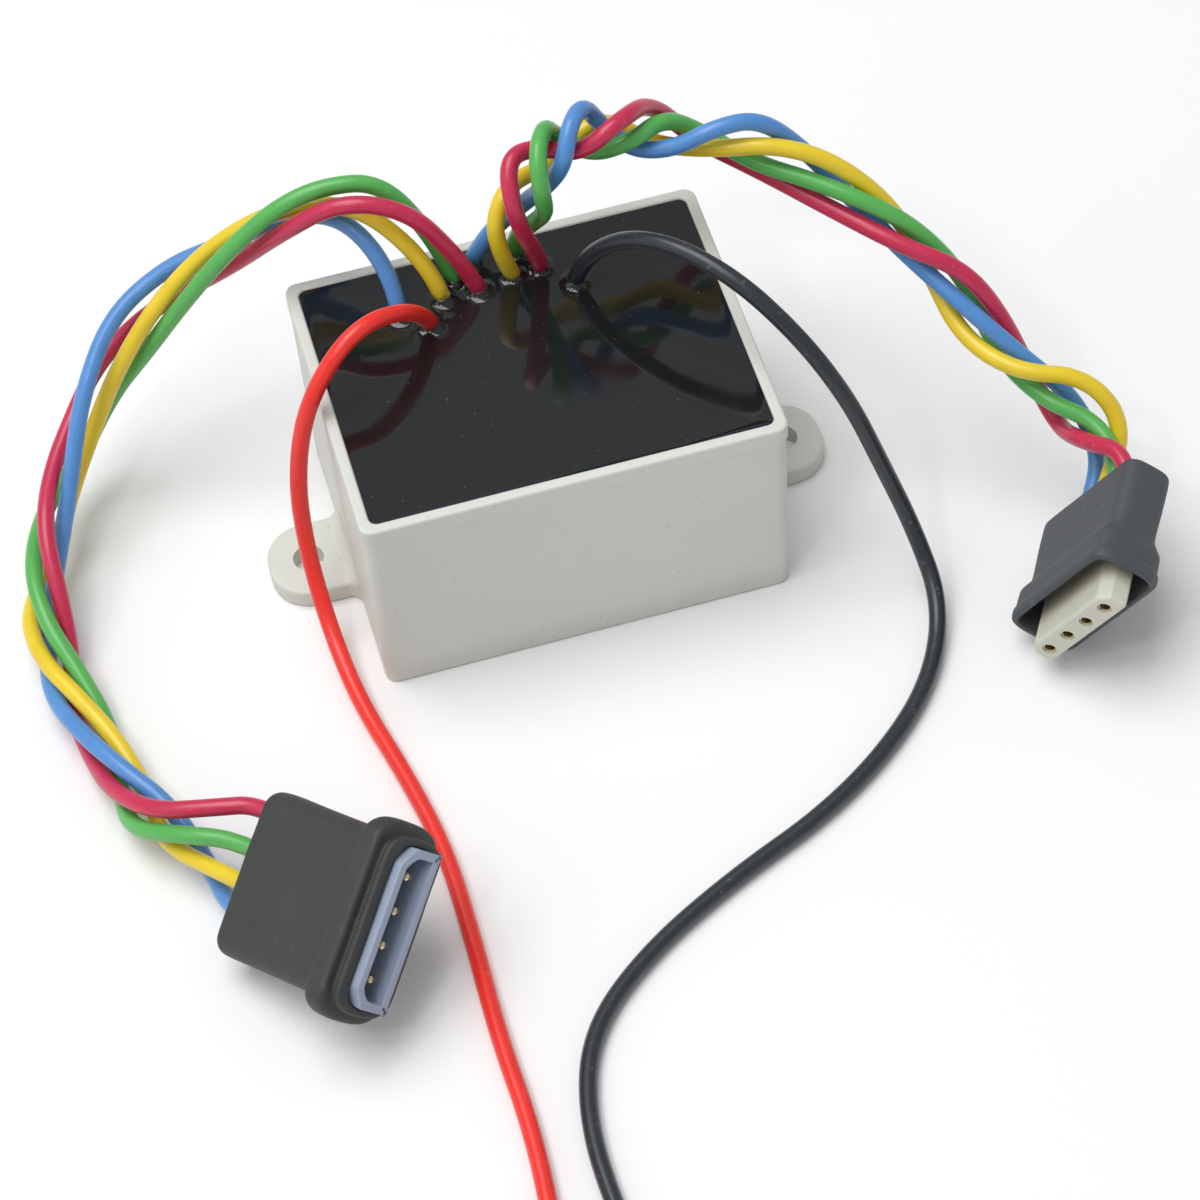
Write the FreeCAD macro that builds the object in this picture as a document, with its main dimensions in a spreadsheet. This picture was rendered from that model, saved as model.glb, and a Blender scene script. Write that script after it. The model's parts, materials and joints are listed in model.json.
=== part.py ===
import FreeCAD, Part
import math
import os

import Sketcher

# In-line surge protector module: a potted box with two mounting ears, a four-wire tail to a male plug,
# a four-wire tail to a female socket, and two bare-ended leads (supply and ground).
# Frame: +Z up, +X towards the female connector's side, the box's long front wall faces -Y.
# The origin is the middle of the box's underside. All sizes are millimetres and degrees.

SIZES = {
    # box
    "body_length": 50.8,
    "body_width": 40.0,
    "body_height": 29.0,
    "wall_draft": 0.25,
    "wall_thickness": 1.4,
    "floor_thickness": 2.0,
    "corner_radius": 1.5,
    "cavity_radius": 1.0,
    "rim_band": 2.3,
    "rim_step": 0.1,
    "rim_fillet": 0.35,
    "base_fillet": 0.3,
    # mounting ears
    "ear_hole_span": 60.0,
    "ear_tip_span": 69.8,
    "ear_half_width": 5.5,
    "ear_tip_radius": 4.8,
    "ear_thickness": 2.6,
    "ear_hole_radius": 1.9,
    "ear_root_fillet": 1.5,
    "ear_edge_fillet": 0.5,
    # potting and circuit board
    "potting_below_rim": 0.4,
    "board_clearance": 0.4,
    "board_thickness": 1.6,
    "board_level": 7.4,
    "solder_foot_radius": 1.3,
    # wires
    "wire_diameter": 2.1,
    "bare_tip_diameter": 1.2,
    "bare_tip_length": 6.0,
    # components on the board
    "line_pitch": 9.0,
    "line_varistor_row": 3.5,
    "line_varistor_diameter": 7.0,
    "line_varistor_thickness": 3.0,
    "line_resistor_row": -2.5,
    "line_resistor_diameter": 2.4,
    "line_resistor_length": 6.3,
    "power_varistor_diameter": 14.0,
    "power_varistor_thickness": 4.5,
    "power_row_inset": 6.7,
    "gas_tube_diameter": 8.0,
    "gas_tube_length": 6.0,
    "diode_diameter": 5.0,
    "diode_length": 9.0,
    "diode_gap": 1.2,
    "fuse_diameter": 3.5,
    "fuse_length": 10.0,
    "lead_clearance": 0.4,
    # both connectors
    "contact_pitch": 3.96,
    "contact_start": 5.4,
    "contact_slit": 0.18,
    "crimp_radius": 1.05,
    # male connector, along its own Z from the rear face to the mouth
    "plug_end_margin": 3.31,
    "plug_thickness": 5.7,
    "plug_key_length": 2.1,
    "plug_key_depth": 1.6,
    "plug_rim_level": 22.4,
    "plug_wall": 1.0,
    "plug_floor_level": 12.5,
    "pin_radius": 0.57,
    "pin_below_rim": 0.9,
    "pin_slit_depth": 2.6,
    "crimp_length": 3.8,
    "male_end_wall": 0.6,
    "male_side_wall": 0.95,
    "male_boot_radius": 1.7,
    "male_collar_end_step": 1.7,
    "male_collar_side_step": 1.4,
    "male_collar_level": 16.5,
    "male_collar_height": 3.3,
    "male_nose_end_wall": 1.0,
    "male_nose_side_wall": 1.6,
    "male_nose_level": 21.4,
    "male_nose_height": 1.1,
    "male_neck_depth": 0.45,
    # female connector, along its own Z from the rear face to the mouth
    "female_end_wall": 0.85,
    "female_side_wall": 0.25,
    "female_boot_radius": 1.2,
    "female_lip_wall": 0.8,
    "female_flange_level": 10.2,
    "female_flare": 0.9,
    "female_mouth_level": 15.2,
    "mouth_end_clearance": 0.2,
    "mouth_side_clearance": 0.75,
    "mouth_depth": 4.9,
    "tongue_clearance": 0.15,
    "tongue_level": 18.7,
    "tongue_edge": 0.5,
    "socket_wall": 0.25,
    "socket_fit": 0.05,
    "socket_recess": 0.3,
    "socket_slit_depth": 4.0,
}

# Where the two connectors lie: position of the rear face's middle, then yaw, pitch and roll.
MALE_PLACE = ((-45.8, -46.5, 7.5), (49.0, -31.5, 66.5))
FEMALE_PLACE = ((61.5, -28.3, 11.4), (-35.0, -59.0, 95.0))

# Each wire's route, from its solder joint on the board to its crimp or its free end.

ROUTES = {
    "left_blue_wire": [
        (-12.8, 10.8, 11), (-12.8, 10.8, 19), (-13, 10, 27), (-13.5, 15, 34.5), (-17.5, 21, 38), (-24, 25, 35),
        (-31, 26, 32), (-38, 27.5, 29), (-46, 25, 25.5), (-51.5, 18.5, 20.5), (-54.5, 14, 14.5), (-57, 10, 9.5),
        (-60.3, 4, 5), (-63, -3, 2.2), (-64, -11, 3), (-61.5, -19, 5), (-58, -26, 6), (-53.5, -32, 4.5),
        (-51, -39.5, 2), (-49.9, -47.3, 3), (-46.3, -54.1, 6.1),
    ],
    "left_yellow_wire": [
        (-7.2, 12.1, 11), (-7.2, 12.1, 19), (-7, 11.5, 27), (-9.5, 14.5, 35), (-15.5, 19.5, 40.5),
        (-23.5, 22.8, 39), (-30, 23.7, 36), (-36, 24, 31.5), (-42, 22.7, 26), (-47.3, 21.3, 19),
        (-51.5, 19, 12.5), (-55.5, 15, 8), (-60, 8.5, 2.8), (-64.5, 1, 4), (-64, -7, 5), (-60.7, -14, 5),
        (-57.5, -21, 4), (-55.5, -29, 2.2), (-55.5, -36.5, 4), (-49.1, -44.9, 6.4), (-44.1, -51.6, 8.2),
    ],
    "left_green_wire": [
        (-5.2, 14.4, 11), (-5.2, 14.4, 19), (-5, 14, 27), (-7.5, 16.5, 35.5), (-12, 19.5, 43), (-19, 20.5, 43.5),
        (-25, 20.5, 41.5), (-31, 20.7, 36.3), (-37, 21.5, 29), (-42.5, 22.5, 21), (-48, 24, 13),
        (-53.5, 21, 6.3), (-59, 15, 6.4), (-62.5, 5, 8.5), (-62.5, -3, 7.3), (-60, -10, 4.5),
        (-58, -17, 1.5), (-58.7, -26, 1.5), (-58.7, -33.5, 4.2), (-53.5, -39, 8.5), (-46.8, -42.4, 9.2),
        (-41.9, -49, 10.2),
    ],
    "left_crimson_wire": [
        (-2.6, 12.2, 11), (-2.6, 12.2, 19), (-2.5, 11.8, 27), (-5.5, 13, 35), (-10, 15, 42), (-17.5, 17, 44),
        (-24.5, 19.5, 38.5), (-30, 24, 30.5), (-36, 26, 26), (-43, 26.5, 22), (-49, 25, 17.5), (-52.5, 22, 14.5),
        (-57.5, 14.5, 12.7), (-60, 6.5, 12), (-60, -0.5, 7.3), (-60.4, -5.5, 2.4), (-62, -13, 1.4), (-61, -21, 1.6),
        (-59.5, -28.5, 5), (-55.5, -35, 8.5), (-49.5, -37.5, 10), (-43.1, -39.2, 10.4), (-39.7, -46.5, 12.3),
    ],
    "right_blue_wire": [
        (-3.5, 16.8, 11), (-3.5, 16.8, 18.7), (-4, 17, 26.5), (-1, 16.5, 33), (3.5, 16, 37.2), (6.5, 12.3, 43.5),
        (8, 10.3, 48.5), (9.5, 12.8, 51.7), (12, 16.2, 51), (14, 17, 46.5), (17, 15, 43), (21.5, 12.5, 44),
        (26.5, 11.7, 46.8), (32, 12.2, 46), (37.3, 11.5, 39.5), (42, 5.7, 34), (46, -0.5, 30.5),
        (51, -7.5, 27), (56.3, -12.5, 21.8), (61.5, -15.5, 16.5), (63, -21.5, 12.5), (60.8, -25.4, 9),
        (56.4, -30.8, 6.1),
    ],
    "right_yellow_wire": [
        (1.5, 13.9, 11), (1.5, 13.9, 18.4), (2, 14, 26), (0, 12, 33), (-0.7, 12.5, 39), (2, 14.8, 42.5),
        (7, 17, 41.5), (11.5, 18.5, 44.5), (15.5, 18.7, 45), (20, 17.2, 40.7), (26, 12.2, 42.8), (33, 10, 43.5),
        (39.5, 7.5, 41), (45.5, 4.5, 34.5), (48.5, -0.5, 27.5), (50, -8, 23), (54.5, -15, 22.5), (62.5, -17.3, 21.5),
        (66, -21.7, 16.3), (62, -26.1, 10.8), (58.1, -32, 9.5),
    ],
    "right_green_wire": [
        (3.2, 16.8, 11), (3.2, 16.8, 18.9), (3, 17, 26.5), (2.2, 16, 32), (4.3, 13.6, 36.3), (5.3, 10.3, 41),
        (4.7, 8.3, 46), (5, 11, 50), (7, 15.3, 50), (8.5, 17, 46.5), (12, 14.8, 44), (16.5, 13, 46.3),
        (21.5, 15.8, 46.2), (26, 16.3, 41.7), (31, 11.5, 39.5), (36.5, 7.5, 38.8), (42, 3.3, 37.5), (47.7, 0.5, 33.5),
        (52.5, -3, 26.5), (54.3, -9.5, 19.5), (57.5, -16.8, 18.3), (62.8, -20.8, 17), (63.7, -27, 15),
        (59.8, -33.2, 12.9),
    ],
    "right_crimson_wire": [
        (4.9, 13.9, 11), (4.9, 13.9, 18.4), (5, 14.2, 26), (4, 12, 33), (2.3, 9.5, 39), (1.3, 9.8, 44.5),
        (2, 13.5, 48), (5.7, 15.5, 46.8), (10.3, 11.8, 47.5), (15.5, 12.5, 51), (20.5, 18.5, 46.5),
        (25.5, 18, 39), (32, 12.5, 36.8), (38.5, 5.3, 35.3), (45, -1.5, 33.7), (51.3, -4.8, 31),
        (55, -7.3, 25), (57.8, -11, 17), (59.5, -16.5, 12.5), (60, -22.5, 16.5), (64.4, -28.3, 19.1),
        (61.5, -34.3, 16.3),
    ],
    "red_lead": [
        (-9.1, 9.5, 11), (-9.1, 9.5, 18.6), (-9, 9.7, 26.5), (-12.5, 6, 35.5), (-20, 2, 39), (-27, -1, 32),
        (-30, -3, 21.5), (-30.5, -5.5, 11), (-30, -12, 3), (-29, -22, 1.2), (-26.5, -33, 1.1), (-24.5, -45, 1.1),
        (-24.5, -58, 1.1), (-25, -71, 1.1), (-24.5, -84, 1.1), (-25.5, -97, 1.1), (-27.5, -110, 1.1),
        (-30.5, -123, 1.1), (-34, -134, 1.1), (-36, -141.5, 1.1),
    ],
    "black_lead": [
        (7, 10, 11), (7, 10, 18.4), (7, 10.5, 26), (10, 8.5, 35.5), (16, 3, 41), (23, -5, 40.5), (29, -12, 35),
        (33.5, -16.5, 27), (36.5, -19, 17.5), (39.5, -22.5, 8), (40.5, -30, 2.2), (36, -39.5, 1.1),
        (28, -47.5, 1.1), (18, -54, 1.1), (6, -59, 1.1), (-6, -65.5, 1.1), (-15, -73.5, 1.1), (-18.5, -84, 1.1),
        (-18.5, -97, 1.1), (-16.5, -110, 1.1), (-13.5, -123, 1.1), (-11, -133, 1.1), (-10, -140, 1.1),
    ],
}

doc = FreeCAD.newDocument("surge_protector")
sheet = doc.addObject("Spreadsheet::Sheet", "sizes")
for row, (alias, size) in enumerate(SIZES.items(), start=1):
    sheet.set("A%d" % row, alias)
    sheet.set("B%d" % row, str(size))
    sheet.setAlias("B%d" % row, alias)
doc.recompute()

# ---- sizes that follow from others ---------------------------------------------------------------------

CAVITY_LENGTH = "(sizes.body_length - 2 * sizes.wall_thickness)"
CAVITY_WIDTH = "(sizes.body_width - 2 * sizes.wall_thickness)"
BOARD_LENGTH = f"({CAVITY_LENGTH} - 2 * sizes.board_clearance)"
BOARD_WIDTH = f"({CAVITY_WIDTH} - 2 * sizes.board_clearance)"
POWER_ROW = f"(sizes.power_row_inset - {BOARD_WIDTH} / 2)"
PLUG_LENGTH = "(3 * sizes.contact_pitch + 2 * sizes.plug_end_margin)"
MALE_BODY_LENGTH = f"({PLUG_LENGTH} + 2 * sizes.male_end_wall)"
MALE_BODY_THICKNESS = "(sizes.plug_thickness + 2 * sizes.male_side_wall)"
MALE_COLLAR_LENGTH = f"({MALE_BODY_LENGTH} + 2 * sizes.male_collar_end_step)"
MALE_COLLAR_THICKNESS = f"({MALE_BODY_THICKNESS} + 2 * sizes.male_collar_side_step)"
MALE_NOSE_LENGTH = f"({PLUG_LENGTH} + 2 * sizes.male_nose_end_wall)"
MALE_NOSE_THICKNESS = "(sizes.plug_thickness + 2 * sizes.male_nose_side_wall)"
MOUTH_LENGTH = f"({PLUG_LENGTH} + 2 * sizes.mouth_end_clearance)"
MOUTH_THICKNESS = "(sizes.plug_thickness + 2 * sizes.mouth_side_clearance)"
FEMALE_BODY_LENGTH = f"({PLUG_LENGTH} + 2 * sizes.female_end_wall)"
FEMALE_BODY_THICKNESS = "(sizes.plug_thickness + 2 * sizes.female_side_wall)"
FEMALE_FLANGE_LENGTH = f"({MOUTH_LENGTH} + 2 * sizes.female_lip_wall)"
FEMALE_FLANGE_THICKNESS = f"({MOUTH_THICKNESS} + 2 * sizes.female_lip_wall)"

nodes = []


def value(expression):
    """Work out a spreadsheet expression as a plain number."""
    return float(sheet.evalExpression(expression))


def node(obj, label):
    """Give an object the name of the piece it is, and list it for writing."""
    obj.Label = label
    nodes.append(obj)
    return obj


def bind(obj, **expressions):
    """Bind an object's properties to expressions; a double underscore stands for a dot."""
    for name, expression in expressions.items():
        obj.setExpression(name.replace("__", "."), expression)
    return obj


# ---- sketches and features -------------------------------------------------------------------------

def new_sketch(body, name, level="0"):
    """A sketch on the body's own XY plane, lifted to a level."""
    plane = next(f for f in body.Origin.OriginFeatures if f.Role == "XY_Plane")
    sketch = body.newObject("Sketcher::SketchObject", name)
    sketch.AttachmentSupport = [(plane, "")]
    sketch.MapMode = "FlatFace"
    sketch.setExpression("AttachmentOffset.Base.z", level)
    return sketch


def rounded_rectangle(sketch, half_x, half_y, radius):
    """A rectangle centred on the origin, with round corners."""
    x, y, r = value(half_x), value(half_y), value(radius)
    vector = FreeCAD.Vector
    sides = [
        ((r - x, -y), (x - r, -y)),
        ((x, r - y), (x, y - r)),
        ((x - r, y), (r - x, y)),
        ((-x, y - r), (-x, r - y)),
    ]
    for start, end in sides:
        sketch.addGeometry(Part.LineSegment(vector(*start, 0), vector(*end, 0)), False)
    centres = [(x - r, r - y, 270), (x - r, y - r, 0), (r - x, y - r, 90), (r - x, r - y, 180)]
    for centre_x, centre_y, start in centres:
        circle = Part.Circle(vector(centre_x, centre_y, 0), vector(0, 0, 1), r)
        arc = Part.ArcOfCircle(circle, math.radians(start), math.radians(start + 90))
        sketch.addGeometry(arc, False)
    constraint = Sketcher.Constraint
    for side in range(4):
        sketch.addConstraint(constraint("Tangent", side, 2, side + 4, 1))
        sketch.addConstraint(constraint("Tangent", side + 4, 2, (side + 1) % 4, 1))
    for side in (0, 2):
        sketch.addConstraint(constraint("Horizontal", side))
        sketch.addConstraint(constraint("Vertical", side + 1))
    for arc in (5, 6, 7):
        sketch.addConstraint(constraint("Equal", 4, arc))
    sized = [
        (constraint("Radius", 4, r), radius),
        (constraint("DistanceX", -1, 1, 1, 1, x), half_x),
        (constraint("DistanceX", 3, 1, -1, 1, x), half_x),
        (constraint("DistanceY", -1, 1, 2, 1, y), half_y),
        (constraint("DistanceY", 0, 1, -1, 1, y), half_y),
    ]
    for rule, expression in sized:
        index = sketch.addConstraint(rule)
        sketch.setExpression("Constraints[%d]" % index, expression)
    return sketch


def polygon(sketch, corners):
    """A closed outline of straight sides through corners given as pairs of expressions."""
    places = [FreeCAD.Vector(value(x), value(y), 0) for x, y in corners]
    count = len(places)
    for side in range(count):
        sketch.addGeometry(Part.LineSegment(places[side], places[(side + 1) % count]), False)
    for side in range(count):
        sketch.addConstraint(Sketcher.Constraint("Coincident", side, 2, (side + 1) % count, 1))
    for side, (corner, place) in enumerate(zip(corners, places)):
        for kind, expression, number in zip(("DistanceX", "DistanceY"), corner, place):
            # A distance is kept positive by measuring it towards the origin on the far side.
            if number > 0:
                index = sketch.addConstraint(Sketcher.Constraint(kind, -1, 1, side, 1, number))
                sketch.setExpression("Constraints[%d]" % index, expression)
            else:
                index = sketch.addConstraint(Sketcher.Constraint(kind, side, 1, -1, 1, -number))
                sketch.setExpression("Constraints[%d]" % index, "-(%s)" % expression)
    return sketch


def pad(body, sketch, name, length):
    """Raise the sketch's outline by a length."""
    feature = body.newObject("PartDesign::Pad", name)
    feature.Profile = sketch
    feature.setExpression("Length", length)
    doc.recompute()
    return feature


def pocket(body, sketch, name, length, upwards=False):
    """Cut down from the sketch, or up from it, and make sure that something is cut."""
    before = body.Shape.Volume
    feature = body.newObject("PartDesign::Pocket", name)
    feature.Profile = sketch
    feature.Reversed = upwards
    feature.setExpression("Length", length)
    doc.recompute()
    if not body.Shape.Volume < before - 1e-6:
        raise RuntimeError("%s cuts nothing" % name)
    return feature


def round_edges(body, name, radius, wanted):
    """Fillet every edge of the body's tip that the test picks."""
    tip = body.Tip
    edges = ["Edge%d" % (i + 1) for i, edge in enumerate(tip.Shape.Edges) if wanted(edge)]
    if not edges:
        raise RuntimeError("%s finds no edge" % name)
    feature = body.newObject("PartDesign::Fillet", name)
    feature.Base = (tip, edges)
    feature.setExpression("Radius", radius)
    doc.recompute()
    return feature


def at_level(edge, level):
    """True for an edge that lies flat at a level."""
    box = edge.BoundBox
    return abs(box.ZMin - level) < 1e-4 and abs(box.ZMax - level) < 1e-4


def cylinder(name, radius, length, axis="Z", **place):
    """A round bar centred on its place along X or Y, or standing on it along Z."""
    bar = doc.addObject("Part::Cylinder", name)
    bind(bar, Radius=radius, Height=length)
    turn = {"X": (0, 1, 0), "Y": (-1, 0, 0), "Z": (0, 0, 0)}[axis]
    if axis != "Z":
        bar.Placement.Rotation = FreeCAD.Rotation(FreeCAD.Vector(*turn), 90)
    for letter, expression in place.items():
        if letter.upper() == axis and axis != "Z":
            expression = "%s - (%s) / 2" % (expression, length)
        bar.setExpression("Placement.Base." + letter, expression)
    return bar


def fuse(name, pieces):
    joined = doc.addObject("Part::MultiFuse", name)
    joined.Shapes = pieces
    return joined


def cut(name, base, tool):
    result = doc.addObject("Part::Cut", name)
    result.Base = base
    result.Tool = tool
    return result


# ---- wires -------------------------------------------------------------------------------------------

def tube_path(points):
    """Straight runs joined by tangent arcs, each as large as its two runs allow."""
    corners = [FreeCAD.Vector(*point) for point in points]
    edges = []
    radii = []
    start = corners[0]
    for before, corner, after in zip(corners, corners[1:], corners[2:]):
        into = corner - before
        out_of = after - corner
        turn = into.getAngle(out_of)
        trim = 0.45 * min(into.Length, out_of.Length)
        radii.append(trim / math.tan(turn / 2))
        into.normalize()
        out_of.normalize()
        arc_start = corner - into * trim
        arc_end = corner + out_of * trim
        bisector = (out_of - into).normalize()
        middle = corner + bisector * (radii[-1] / math.cos(turn / 2) - radii[-1])
        edges.append(Part.LineSegment(start, arc_start).toShape())
        edges.append(Part.Arc(arc_start, middle, arc_end).toShape())
        start = arc_end
    edges.append(Part.LineSegment(start, corners[-1]).toShape())
    return Part.Wire(edges), radii


def tube(label, points):
    """A wire as one solid tube along its route; its length and bend radii are printed."""
    path, radii = tube_path(points)
    radius = value("sizes.wire_diameter") / 2
    first = FreeCAD.Vector(*points[0])
    direction = FreeCAD.Vector(*points[1]) - first
    section = Part.Wire(Part.makeCircle(radius, first, direction))
    solid = path.makePipeShell([section], True, False)
    expected = math.pi * radius**2 * path.Length
    if not solid.isValid() or abs(solid.Volume / expected - 1) > 0.01:
        raise RuntimeError("%s is not a sound tube" % label)
    wire = doc.addObject("Part::Feature", label)
    wire.Shape = solid
    runs = [(FreeCAD.Vector(*b) - FreeCAD.Vector(*a)).Length for a, b in zip(points, points[1:])]
    print("%-20s length %.1f runs %.1f-%.1f radii %s" % (
        label, path.Length, min(runs), max(runs), " ".join("%.1f" % r for r in radii)))
    return node(wire, label)


wires = {label: tube(label, points) for label, points in ROUTES.items()}


def bare_tip(label, points):
    """The tinned strands that stand out of a lead's stripped end."""
    end = FreeCAD.Vector(*points[-1])
    direction = end - FreeCAD.Vector(*points[-2])
    tip = doc.addObject("Part::Cylinder", label)
    bind(tip, Radius="sizes.bare_tip_diameter / 2", Height="sizes.bare_tip_length")
    tip.Placement = FreeCAD.Placement(end, FreeCAD.Rotation(FreeCAD.Vector(0, 0, 1), direction))
    return node(tip, label)


bare_tip("red_lead_tip", ROUTES["red_lead"])
bare_tip("black_lead_tip", ROUTES["black_lead"])


# ---- box ---------------------------------------------------------------------------------------------

def make_housing():
    body = node(doc.addObject("PartDesign::Body", "housing"), "housing")
    ears = rounded_rectangle(
        new_sketch(body, "ear_outline"),
        "sizes.ear_tip_span / 2", "sizes.ear_half_width", "sizes.ear_tip_radius",
    )
    pad(body, ears, "ears", "sizes.ear_thickness")
    ear_top = value("sizes.ear_thickness")
    round_edges(body, "ear_edges", "sizes.ear_edge_fillet", lambda edge: at_level(edge, ear_top))
    walls = rounded_rectangle(
        new_sketch(body, "wall_outline"),
        "sizes.body_length / 2 - sizes.rim_step - sizes.wall_draft",
        "sizes.body_width / 2 - sizes.rim_step - sizes.wall_draft",
        "sizes.corner_radius",
    )
    block = pad(body, walls, "walls", "sizes.body_height")
    block.setExpression("TaperAngle", "atan(sizes.wall_draft / sizes.body_height)")
    rim = rounded_rectangle(
        new_sketch(body, "rim_outline", "sizes.body_height - sizes.rim_band"),
        "sizes.body_length / 2", "sizes.body_width / 2", "sizes.corner_radius",
    )
    pad(body, rim, "rim", "sizes.rim_band")
    half_width = value("sizes.ear_half_width")
    half_length = value("sizes.body_length / 2")

    def ear_root(edge):
        box = edge.BoundBox
        upright = box.ZLength > 1 and box.YLength < 0.1 and box.ZMax < ear_top
        return upright and abs(abs(box.Center.y) - half_width) < 0.1 and abs(box.Center.x) < half_length

    round_edges(body, "ear_roots", "sizes.ear_root_fillet", ear_root)
    cavity = rounded_rectangle(
        new_sketch(body, "cavity_outline", "sizes.body_height"),
        CAVITY_LENGTH + " / 2", CAVITY_WIDTH + " / 2",
        "sizes.cavity_radius",
    )
    pocket(body, cavity, "cavity", "sizes.body_height - sizes.floor_thickness")
    holes = new_sketch(body, "ear_holes")
    for index, side in enumerate((-1, 1)):
        centre = FreeCAD.Vector(side * value("sizes.ear_hole_span / 2"), 0, 0)
        holes.addGeometry(Part.Circle(centre, FreeCAD.Vector(0, 0, 1), 1), False)
        holes.addConstraint(Sketcher.Constraint("PointOnObject", index, 3, -1))
        across = holes.addConstraint(Sketcher.Constraint(
            "DistanceX", *((index, 3, -1, 1) if side < 0 else (-1, 1, index, 3)), abs(centre.x)))
        holes.setExpression("Constraints[%d]" % across, "sizes.ear_hole_span / 2")
        radius = holes.addConstraint(Sketcher.Constraint("Radius", index, 1))
        holes.setExpression("Constraints[%d]" % radius, "sizes.ear_hole_radius")
    pocket(body, holes, "ear_bores", "sizes.ear_thickness", upwards=True)
    top = value("sizes.body_height")
    round_edges(body, "rim_edges", "sizes.rim_fillet", lambda edge: at_level(edge, top))
    hole_radius = value("sizes.ear_hole_radius")

    def base_edge(edge):
        ring = hasattr(edge.Curve, "Radius") and abs(edge.Curve.Radius - hole_radius) < 1e-4
        return at_level(edge, 0) and not ring

    round_edges(body, "base_edges", "sizes.base_fillet", base_edge)
    return body


housing = make_housing()


# ---- circuit board and what stands on it ---------------------------------------------------------------

BOARD_TOP = "sizes.board_level + sizes.board_thickness"

board = node(doc.addObject("Part::Box", "circuit_board"), "circuit_board")
bind(board, Length=BOARD_LENGTH, Width=BOARD_WIDTH, Height="sizes.board_thickness",
     Placement__Base__x=f"-{BOARD_LENGTH} / 2", Placement__Base__y=f"-{BOARD_WIDTH} / 2",
     Placement__Base__z="sizes.board_level")

joints = []
for label, points in ROUTES.items():
    cone = doc.addObject("Part::Cone", label + "_joint")
    bind(cone, Radius1="sizes.solder_foot_radius", Radius2="sizes.wire_diameter / 2",
         Height="%s - (%s)" % (points[0][2], BOARD_TOP), Placement__Base__z=BOARD_TOP)
    cone.Placement.Base.x = points[0][0]
    cone.Placement.Base.y = points[0][1]
    joints.append(cone)
solder = doc.addObject("Part::Compound", "solder_joints")
solder.Links = joints
node(solder, "solder_joints")


def upright_disc(label, diameter, thickness, x, y):
    """A coated disc that stands on its edge on a short foot."""
    centre = "%s + %s / 2 + sizes.lead_clearance" % (BOARD_TOP, diameter)
    disc = cylinder(label + "_disc", diameter + " / 2", thickness, "Y", x=x, y=y, z=centre)
    foot = doc.addObject("Part::Box", label + "_foot")
    bind(foot, Length=diameter + " / 2", Width=thickness + " / 2",
         Height="sizes.lead_clearance + %s / 4" % diameter,
         Placement__Base__x="%s - %s / 4" % (x, diameter),
         Placement__Base__y="%s - %s / 4" % (y, thickness), Placement__Base__z=BOARD_TOP)
    return node(fuse(label, [disc, foot]), label)


def lying_bar(label, diameter, length, axis, x, y):
    """A round component that lies just above the board."""
    centre = "%s + %s / 2 + sizes.lead_clearance" % (BOARD_TOP, diameter)
    return node(cylinder(label, diameter + " / 2", length, axis, x=x, y=y, z=centre), label)


components = []
for number in range(1, 5):
    line_x = "sizes.line_pitch * %.1f" % (number - 2.5)
    components.append(upright_disc(
        "line_varistor_%d" % number, "sizes.line_varistor_diameter", "sizes.line_varistor_thickness",
        line_x, "sizes.line_varistor_row"))
    components.append(lying_bar(
        "line_resistor_%d" % number, "sizes.line_resistor_diameter", "sizes.line_resistor_length",
        "Y", line_x, "sizes.line_resistor_row"))
components.append(upright_disc(
    "power_varistor", "sizes.power_varistor_diameter", "sizes.power_varistor_thickness",
    f"-{BOARD_LENGTH} / 3", POWER_ROW))
components.append(lying_bar(
    "gas_discharge_tube", "sizes.gas_tube_diameter", "sizes.gas_tube_length", "X",
    "-sizes.gas_tube_length / 4", POWER_ROW))
for number, side in ((1, "-"), (2, "+")):
    components.append(lying_bar(
        "clamp_diode_%d" % number, "sizes.diode_diameter", "sizes.diode_length", "X",
        f"{BOARD_LENGTH} / 4", f"{POWER_ROW} %s (sizes.diode_diameter + sizes.diode_gap) / 2" % side))
components.append(lying_bar(
    "supply_fuse", "sizes.fuse_diameter", "sizes.fuse_length", "Y",
    f"{BOARD_LENGTH} / 2 - sizes.fuse_diameter", f"{POWER_ROW} + sizes.fuse_length / 4"))


# ---- male connector ------------------------------------------------------------------------------------

def placement(place):
    """A connector's place as a Placement."""
    position, angles = place
    return FreeCAD.Placement(FreeCAD.Vector(*position), FreeCAD.Rotation(*angles))


def local(obj, place, x="0", z="0", y="0"):
    """Put an object that is built along Z at a contact's place in a connector's own frame."""
    offset = FreeCAD.Placement(FreeCAD.Vector(value(x), value(y), value(z)), FreeCAD.Rotation())
    obj.Placement = placement(place).multiply(offset)
    return obj


def local_body(name, place):
    """A body that is modelled in a connector's own frame."""
    body = doc.addObject("PartDesign::Body", name)
    body.Placement = placement(place)
    return body


def slit(name, place, x, radius, level, depth):
    """A thin cut down the middle of a contact, from its open end."""
    blade = bind(doc.addObject("Part::Box", name), Length="2.2 * (%s)" % radius,
                 Width="sizes.contact_slit", Height=depth)
    return local(blade, place, "%s - 1.1 * (%s)" % (x, radius), "%s - (%s)" % (level, depth),
                 "-sizes.contact_slit / 2")


CONTACTS = ((1, -1.5), (2, -0.5), (3, 0.5), (4, 1.5))
LINE_COLOURS = ("blue", "yellow", "green", "crimson")


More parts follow.
